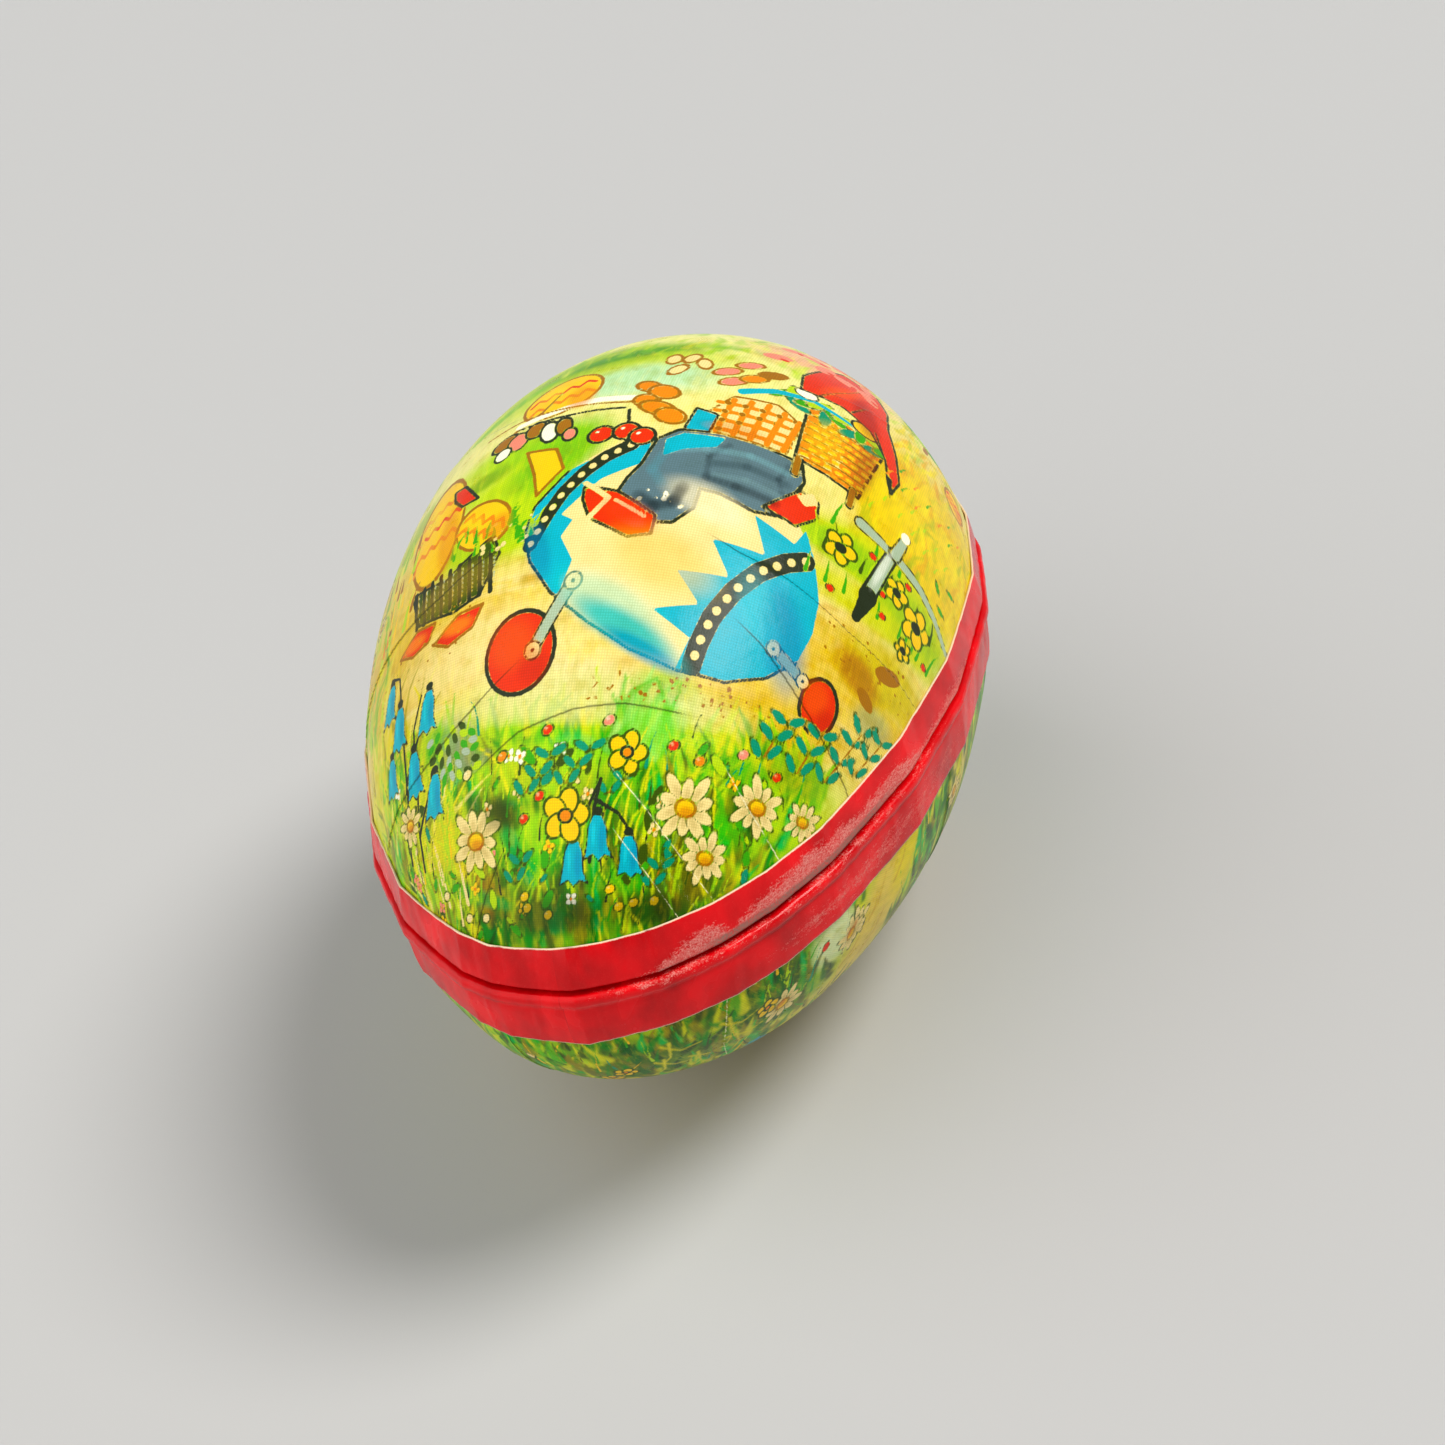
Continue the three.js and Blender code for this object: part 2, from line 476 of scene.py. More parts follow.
def bead(height):
    """The fold along the top of the base's edging stands out as a bead."""
    away = (height - BEAD_HEIGHT) / BEAD_REACH
    crease = (height - CREASE_HEIGHT) / CREASE_REACH
    swell = BEAD_SWELL * np.sqrt(np.clip(1 - away * away, 0, 1))
    return swell - CREASE_DEPTH * np.exp(-(crease**2))


def edging_outline(side, width, seed):
    def outline(alpha):
        top = width + cut_edge(alpha, seed, CUT_WANDER)
        folds = [
            (WEB[0] + 0.02, -0.14), (WEB[0], 0.1), (WEB[0], 0.9), (WEB[0], 1.75), (0.28, 1.88),
            (0.6, INNER_LEG[1]), (LEG_HEIGHT, INNER_LEG[1]), (LEG_HEIGHT, INNER_LEG[0]),
            (0.5, INNER_LEG[0]), (WEB[1], 1.6), (WEB[1], PASTE), (0.6, -PASTE),
            (top - 0.15, -PASTE), (top, -0.07), (top, -0.2),
        ]
        rows = [(side * height, depth) for height, depth in folds]
        wide, fine = pleats(alpha, seed + 1, *BIG_PLEATS), pleats(alpha, seed + 2, *FINE_PLEATS)
        for t in np.linspace(1, 0, FACE_ROWS):
            height = 0.24 + (top - 0.26) * t
            lean = 0.35 + 0.65 * t if side == LID else 0.3 + 0.7 * (1 - abs(2 * t - 0.9))
            ripple = 0.018 * np.sin(alpha * 83 + 5 * t) * np.sin(alpha * 29 + 2)
            out = -0.24 + np.clip(wide * lean, -0.05, 0.09) + fine * 0.6 + ripple
            if side == BASE:
                out = out - bead(height)
            rows.append((side * height, np.maximum(out, -0.25 - 0.3 * (side == BASE))))
        return rows if side == LID else rows[::-1]

    return outline


EDGE_COLUMNS = 1536
LID_SEED, BASE_SEED = 5, 9
lid_edging = ring_solid("lid_edging", LID, edging_outline(LID, LID_STRIP, LID_SEED), EDGE_COLUMNS)
base_edging = ring_solid(
    "base_edging", BASE, edging_outline(BASE, BASE_STRIP, BASE_SEED), EDGE_COLUMNS,
)


# %% The grey card collar, with its glued lap
COLLAR_OUT, COLLAR_IN = 2.2, 3.0
COLLAR_RISE, COLLAR_DROP = 5, 6
COLLAR_COLUMNS = 512
LAP_AT, LAP_REACH, LAP_THICKNESS = math.radians(205), 0.17, 0.55


def collar_outline(alpha):
    lap = ease(LAP_REACH - np.abs(round_distance(alpha, LAP_AT)), 0, 0.02)
    bend = 0.03 * np.sin(alpha * 41) * np.sin(alpha * 17 + 1)
    outside, inside = COLLAR_OUT + bend, COLLAR_IN + bend + LAP_THICKNESS * lap
    top = COLLAR_RISE + 0.06 * np.sin(alpha * 13) + 0.05 * np.sin(alpha * 57)
    heights = np.linspace(-COLLAR_DROP, COLLAR_RISE - 0.4, 14)
    rows = [(height, outside) for height in heights]
    rows += [(top - 0.12, outside + 0.04), (top, outside + 0.2)]
    rows += [(top, inside - 0.2), (top - 0.12, inside - 0.03)]
    return rows + [(height, inside) for height in heights[::-1]]


collar = ring_solid("collar_card", LID, collar_outline, COLLAR_COLUMNS)

# %% [markdown]
# ## Drawing the print
#
# A printed picture is made of shapes with crisp edges, each in one ink, over a soft
# background. We keep, at every point of the mesh, how far that point lies inside
# the shapes of each ink. The material turns that distance into a sharp edge, much
# finer than the mesh. Washes and shadings are soft, so plain colours do for them.

# %% Inks
def colour(code):
    """A linear colour from a painter's hex code."""
    parts = [int(code[i : i + 2], 16) / 255 for i in (0, 2, 4)]
    return [c / 12.92 if c <= 0.04045 else ((c + 0.055) / 1.055) ** 2.4 for c in parts]


INKS = {
    "cyan": "0cb2c8",
    "cream": "f7e1a6",
    "red": "e63a22",
    "yellow": "fcca00",
    "orange": "f08a1e",
    "slate": "5f767e",
    "teal": "13936f",
    "steel": "aebfa6",
    "line": "28301f",
    "green": "45a82c",
    "lime": "b9d840",
    "dark": "3c5216",
    "white": "fffbe8",
    "brown": "a5702f",
    "pink": "f4a091",
}
ORDER = list(INKS)
REACH = 0.9


# %% The sheet that is drawn on
class Sheet:
    """Points of a printed sheet, the inks on each, and the soft colours below and above."""

    def __init__(self, alpha, psi, ground):
        self.x, self.y = to_sheet(alpha, psi)
        self.inks = np.full((len(ORDER), len(alpha)), -REACH, np.float32)
        self.ground = np.tile(np.array(colour(ground), np.float32), (len(alpha), 1))
        self.glaze = np.zeros((len(alpha), 4), np.float32)
        self.count = 0

    def near(self, x0, x1, y0, y1, margin=REACH):
        inside = (self.x > x0 - margin) & (self.x < x1 + margin)
        inside &= (self.y > y0 - margin) & (self.y < y1 + margin)
        return np.nonzero(inside)[0]

    def lay(self, ink, where, distance, edge=0, edge_ink="line"):
        """Inks these points by how far inside the shape they lie, then draws its outline."""
        if not len(where):
            return
        whole = distance
        distance = np.clip(distance, -REACH, REACH).astype(np.float32)
        row = ORDER.index(ink)
        kept = self.inks[:, where]
        own = np.maximum(kept[row], distance)
        kept = np.minimum(kept, -distance)
        kept[row] = own
        self.inks[:, where] = kept
        self.count += 1
        if edge:
            self.lay(edge_ink, where, edge / 2 - np.abs(whole))

    def oval(self, ink, x, y, wide, high=None, turn=0, edge=0, edge_ink="line"):
        high = high or wide
        reach = max(wide, high)
        where = self.near(x - reach, x + reach, y - reach, y + reach)
        c, s = math.cos(math.radians(turn)), math.sin(math.radians(turn))
        dx, dy = self.x[where] - x, self.y[where] - y
        u, v = (dx * c + dy * s) / wide, (dy * c - dx * s) / high
        self.lay(ink, where, (1 - np.hypot(u, v)) * min(wide, high), edge, edge_ink)

    def shape(self, ink, points, edge=0, edge_ink="line", soften=0.0):
        xs, ys = zip(*points)
        where = self.near(min(xs), max(xs), min(ys), max(ys))
        px, py = self.x[where], self.y[where]
        best = np.full(len(where), 1e9)
        inside = np.zeros(len(where), bool)
        for (ax, ay), (bx, by) in zip(points, points[1:] + points[:1]):
            ex, ey = bx - ax, by - ay
            t = np.clip(((px - ax) * ex + (py - ay) * ey) / (ex * ex + ey * ey + 1e-12), 0, 1)
            best = np.minimum(best, np.hypot(px - ax - t * ex, py - ay - t * ey))
            crosses = (ay > py) != (by > py)
            inside ^= crosses & (px < ax + ex * (py - ay) / (ey if abs(ey) > 1e-9 else 1e-9))
        self.lay(ink, where, np.where(inside, best, -best) + soften, edge, edge_ink)

    def near_path(self, points, margin):
        """The points near a path, their distance to it, and how far along it they are."""
        xs, ys = zip(*points)
        where = self.near(min(xs), max(xs), min(ys), max(ys), margin)
        signed, along = side_of_path(self.x[where], self.y[where], points)
        return where, np.abs(signed), along

    def stroke(self, ink, points, width, end=None):
        """A brush or pen line that may taper to its end."""
        end = width if end is None else end
        where, gap, along = self.near_path(points, REACH + width)
        self.lay(ink, where, (width + (end - width) * along) / 2 - gap)

    def brush(self, code, points, width, strength=0.8, end=0.1):
        """A soft stroke in the painted ground."""
        where, gap, along = self.near_path(points, width)
        half = (width + (end - width) * along) / 2
        cover = strength * (1 - ease(gap / half, 0.3, 1.3))[:, None]
        self.ground[where] += (np.array(colour(code)) - self.ground[where]) * cover

    def wash(self, code, x, y, wide, high=None, strength=0.8, turn=0, onto="ground"):
        """A soft oval of colour, in the ground or, as a glaze, over the inks."""
        high = high or wide
        reach = 1.6 * max(wide, high)
        where = self.near(x - reach, x + reach, y - reach, y + reach)
        c, s = math.cos(math.radians(turn)), math.sin(math.radians(turn))
        dx, dy = self.x[where] - x, self.y[where] - y
        away = np.hypot((dx * c + dy * s) / wide, (dy * c - dx * s) / high)
        cover = (strength * (1 - ease(away, 0.55, 1.45)))[:, None]
        paint = np.array(colour(code))
        if onto == "ground":
            self.ground[where] += (paint - self.ground[where]) * cover
            return
        old = self.glaze[where]
        new_alpha = cover + old[:, 3:] * (1 - cover)
        under = old[:, :3] * old[:, 3:] * (1 - cover)
        blended = (paint * cover + under) / np.maximum(new_alpha, 1e-6)
        self.glaze[where] = np.hstack([blended, new_alpha])

    def shade(self, code, x, y, wide, high=None, strength=0.5, turn=0):
        self.wash(code, x, y, wide, high, strength, turn, "glaze")

    def fold(self, code, points, width, strength=0.6):
        """A soft stroke of shading over the inks."""
        for (ax, ay), (bx, by) in zip(points, points[1:]):
            for t in np.linspace(0, 1, max(2, int(math.dist((ax, ay), (bx, by)) / 0.35))):
                x, y = ax + (bx - ax) * t, ay + (by - ay) * t
                self.shade(code, x, y, width / 2, strength=strength * 0.45)

    def keep(self, piece):
        for name, values in zip(ORDER, self.inks):
            store(piece, "ink_" + name, values)
        alpha = np.ones(len(self.x))
        store(piece, "ground", np.c_[self.ground, alpha], "FLOAT_COLOR")
        store(piece, "glaze_tint", np.c_[self.glaze[:, :3], alpha], "FLOAT_COLOR")
        store(piece, "glaze_cover", self.glaze[:, 3])
        store(piece, "sheet", np.c_[self.x, self.y, alpha * 0], "FLOAT_VECTOR")
        print(f"{piece.name}: {self.count} printed marks")


# %% [markdown]
# ## Flowers and grass
#
# The meadow is a handful of motifs used again and again: blades of grass, daisies,
# buttercups, bluebells, buds and sprays of small leaves. Each is a few strokes.

# %% Motifs of the meadow
def polar_points(x, y, radius, count, start=0.0):
    for i in range(count):
        angle = start + i * 2 * math.pi / count
        yield x + radius * math.cos(angle), y + radius * math.sin(angle), math.degrees(angle)


def daisy(sheet, x, y, radius, petals=10, heart="yellow"):
    for i, (px, py, turn) in enumerate(polar_points(x, y, radius * 0.6, petals, x * 1.7)):
        longer = 1 + 0.16 * math.sin(i * 2.4 + y)
        px, py = x + (px - x) * longer, y + (py - y) * longer
        sheet.oval(
            "cream", px, py, radius * 0.4 * longer, radius * 0.19, turn + 9 * math.sin(i * 4),
            0.1, "dark",
        )
        sheet.shade(
            "b9a268", x + (px - x) * 0.75, y + (py - y) * 0.75, radius * 0.2, radius * 0.1, 0.45,
            turn,
        )
    sheet.oval(heart, x, y, radius * 0.32, radius * 0.25, 0, 0.2, "brown")
    sheet.shade("c8501c", x + 0.1, y - radius * 0.12, radius * 0.24, radius * 0.16, 0.55)


def buttercup(sheet, x, y, radius, heart="orange"):
    for px, py, turn in polar_points(x, y, radius * 0.55, 5, y):
        sheet.oval("yellow", px, py, radius * 0.52, radius * 0.42, turn, 0.2, "dark")
    sheet.oval(heart, x, y, radius * 0.3, radius * 0.26, 0, 0.22, "line")


def bluebell(sheet, x, y, size, lean=0.0):
    outline = [
        (-0.26, 1), (0.26, 1), (0.54, 0.45), (0.62, -0.4), (0.98, -1), (0.46, -0.84),
        (0.1, -1.16), (-0.24, -0.84), (-0.78, -1.1), (-0.6, -0.35), (-0.52, 0.45),
    ]
    size = size * 1.3
    points = [(x + size * (px + lean * py), y + size * 1.1 * py) for px, py in outline]
    sheet.shape("cyan", points, 0.14, "line")
    sheet.oval("line", x + size * lean, y + size * 1.3, size * 0.3, size * 0.22)
    sheet.shade("0a7fb4", x + size * 0.3, y - size * 0.1, size * 0.2, size * 0.8, 0.5)
    sheet.shade("7fe0ea", x - size * 0.22, y + size * 0.1, size * 0.12, size * 0.6, 0.5)


def blade(sheet, ink, x, y, length, lean, width=0.5):
    points = [
        (x, y),
        (x + 0.18 * lean * length, y + 0.42 * length),
        (x + 0.52 * lean * length, y + 0.78 * length),
        (x + lean * length, y + length),
    ]
    sheet.stroke(ink, points, width, 0.06)


def leaf(sheet, ink, x, y, size, turn):
    sheet.oval(ink, x, y, size, size * 0.42, turn, 0.09, "dark")


def spray(sheet, ink, points, size):
    """A curved twig with pairs of small leaves."""
    sheet.stroke("brown", points, 0.24, 0.14)
    for i, (x, y) in enumerate(points):
        leaf(sheet, ink, x - size * 0.9, y + size * 0.55, size, 128 + 14 * (i % 3))
        leaf(sheet, ink, x + size * 0.9, y + size * 0.75, size, 52 - 12 * (i % 3))


GRASS_INKS = ["green", "green", "lime", "dark", "lime", "green", "yellow", "teal", "dark"]


def grass(sheet, seed, x0, x1, y0, y1, count, length, width, inks=GRASS_INKS):
    """Blades with crisp edges, scattered over an area."""
    draw = np.random.default_rng(seed)
    for _ in range(count):
        x, y = draw.uniform(x0, x1), draw.uniform(y0, y1)
        tall, lean = draw.uniform(*length), draw.normal(0, 0.32)
        ink, wide = inks[draw.integers(len(inks))], draw.uniform(*width)
        blade(sheet, ink, x, y, tall, lean, wide)


MEADOW_CODES = [
    "8fd33a", "5fbf35", "36a53c", "b9dc3e", "e2e04a", "2f8f3a", "1f6b2c", "4a6a1a",
    "7a7a20", "29451a", "3fc06a", "9a8f2c",
]


def soft_grass(sheet, seed, x0, x1, y0, y1, count, length, width, codes=MEADOW_CODES, strength=0.8):
    """Painterly blades in the ground, with soft edges, in many greens."""
    draw = np.random.default_rng(seed)
    for _ in range(count):
        x, y = draw.uniform(x0, x1), draw.uniform(y0, y1)
        tall, lean, wide = draw.uniform(*length), draw.normal(0, 0.4), draw.uniform(*width)
        code = codes[draw.integers(len(codes))]
        points = [(x, y), (x + 0.3 * lean * tall, y + 0.55 * tall), (x + lean * tall, y + tall)]
        sheet.brush(code, points, wide, strength)


def speckle(sheet, seed, ink, x0, x1, y0, y1, count, size=(0.15, 0.32)):
    draw = np.random.default_rng(seed)
    for _ in range(count):
        r = draw.uniform(*size)
        sheet.oval(ink, draw.uniform(x0, x1), draw.uniform(y0, y1), r, r * draw.uniform(0.6, 1))


# %% [markdown]
# ## The lid's picture
#
# Background first: a cream path across the middle, a yellow field to the right,
# lime grass to the left, and a deep green meadow at the narrow end.

# %% Ground of the lid
PATH_CODES = ["dfbc70", "f5e2a0", "d4a864", "fdf0be", "c9ab72", "efd284", "d8b474", "f5da7a"]
lid_sheet = Sheet(lid_alpha, lid_psi, "f1eba6")


def lid_ground(sheet):
    wash = sheet.wash
    wash("f1d98c", 0, -17, 46, 10, 1.0)
    wash("f1de96", 8, -10, 26, 12, 0.8)
    draw = np.random.default_rng(61)
    for _ in range(420):
        x, y = draw.uniform(-30, 33), draw.uniform(-23.5, -9.5)
        code = PATH_CODES[draw.integers(len(PATH_CODES))]
        long = draw.uniform(1.5, 5)
        sheet.brush(
            code, [(x, y), (x + long, y + draw.normal(0, 0.35))], draw.uniform(0.4, 1.3), 0.5,
        )
    for x, y, wide, high, strength in [
        (-14, -16, 12, 4, 0.6), (14, -21, 12, 2.4, 0.7), (26, -15, 9, 4, 0.6),
        (-22, -8, 8, 8, 0.5),
    ]:
        wash("e3bd58", x, y, wide, high, strength)
    for row in [
        ("f9e6ae", -8, -17.5, 9, 3, 0.7), ("f3e6b4", 1, -21.6, 8, 2.4, 0.8),
        ("b5d93f", -6, -6.5, 6, 4, 0.85), ("a4cc3c", -10, -8, 5, 2.2, 0.7),
        ("b9dc48", -10, -1, 6, 3.5, 0.7), ("bfd856", -5, 11, 12, 5, 0.8),
        ("7fae3c", -3, 13.4, 8, 2.6, 0.75, 8), ("4f9a2a", -2, 13, 5, 0.9, 0.85, 10),
        ("5fae32", 7, 15.5, 5, 1, 0.7, 8), ("6dbb3a", -12, 9.6, 5, 0.9, 0.7, 25),
        ("4f8f2a", -11, -1.4, 3, 0.9, 0.6, 10), ("7fae35", -20, 0, 3, 2, 0.6, 40),
        ("bfe6c8", 1, 7.5, 6, 2.6, 0.75, 8), ("6fbf3a", -3.6, -1, 4.2, 3, 0.85, 40),
        ("8fd040", -7, 1, 4, 2, 0.6), ("f6f0a4", 6, 19, 14, 3.5, 0.8),
        ("f5a9a0", 14, 19.5, 6.5, 4.5, 0.85, 20), ("eec400", 28, 5, 8, 10, 1.0),
        ("f4d400", 27, 5, 6.5, 6, 0.9), ("efd890", 26, 16, 6, 5, 0.8),
        ("c6d43a", 25, -4.5, 8, 2.6, 0.9), ("8fc63a", 21, -5, 5, 1.6, 0.8),
        ("9dc53e", 29, -6.5, 5, 2.6, 0.8), ("cdd44a", 24, -8.6, 9, 1.4, 0.75),
        ("cfc052", 28, -13, 5, 3, 0.7), ("9fa87c", 28, -17.5, 2.2, 1.5, 0.65),
        ("b4711f", 25, -14.5, 2.6, 1.5, 0.8, -20), ("b4dc34", 0, -30, 30, 7.5, 1.0),
        ("8fd034", 0, -35, 26, 8, 0.95), ("4f9f2a", 3, -40, 18, 4.5, 0.95),
        ("3b6b1c", -1, -39.5, 9, 3, 0.75), ("62741d", 12, -36.5, 4, 2.6, 0.75),
        ("9aa892", -10, -25.3, 3.4, 2.6, 0.75), ("e6dc28", -13, -31, 5, 5, 0.85),
        ("e4d864", -22, -24, 5, 5, 0.7), ("cfe06a", -18, -33, 5, 3, 0.6),
        ("8fd25a", 9, -22.4, 3, 2.4, 0.75), ("d3a24a", 20, -23.8, 3.4, 1.8, 0.7),
    ]:
        wash(*row)


def lid_far_side(sheet):
    """The blunt end shows more sky and clouds, over soft green for a hedge and round trees."""
    wash = sheet.wash
    wash("e9efb0", 0, 36, 40, 16, 0.9)
    wash("bfe3dc", -12, 31, 12, 6, 0.75)
    wash("c6e8dc", 10, 35, 12, 6, 0.7)
    for x, y in [(-9, 33), (7, 33.5), (-19, 31), (17, 30)]:
        wash("fffdf0", x, y, 3.4, 0.9, 0.85)
        wash("fffdf0", x + 1.2, y + 0.8, 1.9, 0.9, 0.85)
    for x, y, w in [(-26, 8, 5), (-24, 18, 6), (-14, 24, 5), (0, 27, 6), (14, 26, 5), (25, 23, 4)]:
        wash("8fc63a", x, y, w, w * 0.6, 0.8)
        wash("5f9f2e", x + 1, y - w * 0.28, w * 0.7, w * 0.25, 0.7)
    wash("a5cf48", 0, 48, 34, 6, 0.9)


lid_ground(lid_sheet)
lid_far_side(lid_sheet)

# %% [markdown]
# The middle of the picture is a cart made from a painted egg shell on two wheels,
# loaded with cloth, a cushion, a wicker basket of greens and a red scarf.


# %% The egg-shell cart
CART = [
    (5.2, 0.4), (1.2, -0.9), (-2.3, -3.4), (-4.6, -6.4), (-4.9, -8.8), (-3.9, -11.4),
    (-1.6, -14.2), (1.8, -16.6), (5.6, -18.6), (9.8, -19.8), (13.8, -19.9), (17, -18.6),
    (19.3, -16.4), (20, -13.6), (19.8, -10.6), (18.6, -7.6), (16.4, -5), (13, -2.2), (9, -0.2),
]
LEFT_BAND = [(2.2, -1.2), (0.4, -2.4), (-1, -3.8), (-2.3, -5.5), (-3.3, -7.6), (-4.2, -9.9)]
RIGHT_BAND = [
    (17.9, -8), (16.4, -8.9), (14.5, -10.6), (12.9, -12.8), (11.7, -15.2), (11.1, -17.6),
    (10.9, -19.2),
]


def along_path(points, step):
    """Evenly spaced places on a path."""
    left = 0.0
    for (ax, ay), (bx, by) in zip(points, points[1:]):
        length = math.dist((ax, ay), (bx, by))
        while left < length:
            t = left / length
            yield ax + (bx - ax) * t, ay + (by - ay) * t
            left += step
        left -= length


def cart_shell(sheet):
    sheet.shape("cream", CART)
    sheet.shape(
        "cyan",
        [
            (2.4, -0.8), (-2.3, -3.4), (-4.7, -6.4), (-4.9, -8.8), (-3.9, -11.4), (-1.6, -14.2),
            (-1, -15), (-0.2, -11.7), (-1.6, -9.6), (-0.9, -8.2), (-2, -7.6), (0.6, -4.6),
            (4.8, -2.4), (4.6, -0.2),
        ],
    )
    right = [
        (17.2, -5.4), (16.6, -7), (13, -5.9), (14.6, -9), (10.3, -9), (12.3, -11.8),
        (8.2, -12.1), (10.5, -14.5), (6.9, -15.4), (10.3, -17.2), (9.6, -19.8), (13.8, -19.9),
        (17, -18.6), (19.3, -16.4), (20, -13.6), (19.8, -10.6), (18.6, -7.6),
    ]
    sheet.shape("cyan", right)
    for band, width in ((LEFT_BAND, 1.3), (RIGHT_BAND, 1.6)):
        sheet.stroke("line", band, width)
        for x, y in along_path(band, 1.1 if width < 1.5 else 1.3):
            sheet.oval("cream", x, y, width * 0.23)
    ring = CART + CART[:1]
    sheet.stroke("line", ring[2:13], 0.26)
    sheet.shade("f0cc78", 7, -11.4, 4.4, 2.2, 0.5, -20)
    sheet.shade("fbf0cc", 9.4, -6, 3.4, 1.4, 0.6, -20)
    sheet.shade("a6dcc0", 3.8, -15.4, 5, 1.7, 0.6, -27)
    sheet.shade("35b8b4", 5.2, -17.2, 5, 1.2, 0.85, -25)
    sheet.shade("0a7fb0", 17.8, -15.2, 1.8, 4, 0.55, 20)
    sheet.shade("5fd0d8", 15.2, -13.6, 1.5, 3.2, 0.25, 30)
    sheet.shade("067aa6", -3.4, -10.4, 0.9, 2.6, 0.5, 25)
    sheet.shade("0a86b2", 6.8, -18.6, 3.4, 0.7, 0.6, -22)


def wheel(sheet, x, y, wide, high):
    sheet.oval("line", x, y, wide, high)
    sheet.oval("red", x, y, wide - 0.38, high - 0.38)
    sheet.shade("f4683a", x - wide * 0.25, y + high * 0.2, wide * 0.6, high * 0.55, 0.5)
    sheet.shade("b8281a", x + wide * 0.4, y - high * 0.35, wide * 0.4, high * 0.4, 0.4)


def axle_arm(sheet, start, end, width):
    sheet.stroke("line", [start, end], width + 0.34)
    sheet.stroke("steel", [start, end], width)
    for x, y in (start, end):
        sheet.oval("line", x, y, width * 0.95)
        sheet.oval("cream", x, y, width * 0.72)
        sheet.oval("line", x, y, width * 0.22)


cart_shell(lid_sheet)
wheel(lid_sheet, -3.6, -18.6, 3.3, 3.4)
axle_arm(lid_sheet, (0.2, -13.4), (-2.4, -18.6), 0.85)
wheel(lid_sheet, 22.2, -18.9, 2.0, 2.5)
axle_arm(lid_sheet, (17.1, -16.1), (20.2, -17.6), 0.75)


# %% The load: folded cloth, cushion, basket, scarf
def slate_cloth(sheet):
    cloth = [
        (4.3, -0.6), (5.6, 0.5), (8.6, 0.8), (12.4, 0.7), (15.2, 0.5), (15.7, -1),
        (15.2, -2.6), (16.4, -3.7), (15.4, -4.9), (12.8, -5.4), (10, -4.7), (8.2, -4.6),
        (8.1, -6.6), (6.9, -8), (5, -8.2), (3.2, -7.4), (2.4, -6), (2.9, -4.6), (3.7, -3.2),
    ]
    sheet.shape("slate", cloth, 0.3, soften=0.25)
    sheet.shape(
        "cyan", [(4.9, -0.5), (6, 0.3), (9, 0.5), (8.6, -0.4), (6.2, -1.2), (5, -2)],
        soften=0.15,
    )
    sheet.fold("1c282e", [(9.6, 0), (8.4, -1.6), (8.6, -3.6)], 0.55, 0.8)
    sheet.fold("1c282e", [(14.4, -0.2), (14, -1.8), (14.5, -3)], 0.55, 0.8)
    sheet.fold("86b4bc", [(5.4, -1.6), (8, -0.9), (11.4, -0.5), (14.6, -0.9)], 0.7, 0.5)
    sheet.fold("22343a", [(8.8, -2.2), (11.4, -1.7), (14.8, -2)], 0.8, 0.6)
    sheet.fold("7d9ca0", [(9.2, -3.3), (11.6, -3), (14.6, -3.4)], 0.6, 0.5)
    sheet.fold("141c20", [(8.6, -3.7), (11, -3.9), (14.3, -4.2)], 0.8, 0.8)
    sheet.fold("141c20", [(3.9, -6.2), (5.2, -7), (6.7, -6.4), (7.1, -5)], 1.1, 0.9)
    sheet.fold("5f8f9c", [(5, -1.8), (4.4, -3.6), (5.4, -4.8)], 0.9, 0.6)
    # White specks here are a painted highlight: a sparkle of glare on the dark cloth.
    speckle(sheet, 3, "white", 3.6, 7.6, -7.2, -5.2, 9, (0.12, 0.26))
    red_box = [
        (-0.6, -5.2), (2.2, -5.8), (5.6, -7.8), (5.6, -9.4), (3.8, -9.8), (0.4, -8.2),
        (-0.5, -6.4),
    ]
    sheet.shape("red", red_box, 0.28)
    sheet.shade("f08a84", 3.4, -7.9, 2.4, 1.1, 0.55, -25)
    sheet.stroke("cream", [(0.2, -8.4), (1.6, -6.4), (-0.6, -4.9)], 0.5, 0.4)
    sheet.stroke("cream", [(2.2, -6.6), (4.8, -8)], 0.3)
    sheet.shape("red", [(13.4, -4.9), (15.9, -1.9), (17.5, -2.1), (17.8, -3.8), (16.3, -5.4)], 0.26)
    sheet.shape("cream", [(15.6, -2.6), (16.9, -1.6), (17.6, -2.4), (16.6, -3.2)])


def gingham(sheet):
    sheet.shape(
        "cream", [(7.4, 1), (13.9, 1.1), (14.3, 5.2), (12, 6.7), (8.6, 6), (7.2, 3.4)], 0.24,
        "brown",
    )
    for i in range(5):
        x, y = 8.2 + i * 1.35, 1.5 + i * 1.12
        sheet.stroke("orange", [(x, 1.3), (x + 0.5, 6.2 - abs(i - 2) * 0.3)], 0.5)
        if i < 4:
            sheet.stroke("orange", [(7.6, y), (14, y + 0.5)], 0.44)
            for j in range(5):
                sheet.oval("brown", 8.35 + j * 1.35, y + 0.1 + j * 0.1, 0.27)
    sheet.shape("cyan", [(5.8, 0.8), (7.8, 1), (8, 3.2), (6.2, 3.6)], 0.24)
    sheet.shade("b5561e", 9.5, 1.8, 2.6, 0.8, 0.35)


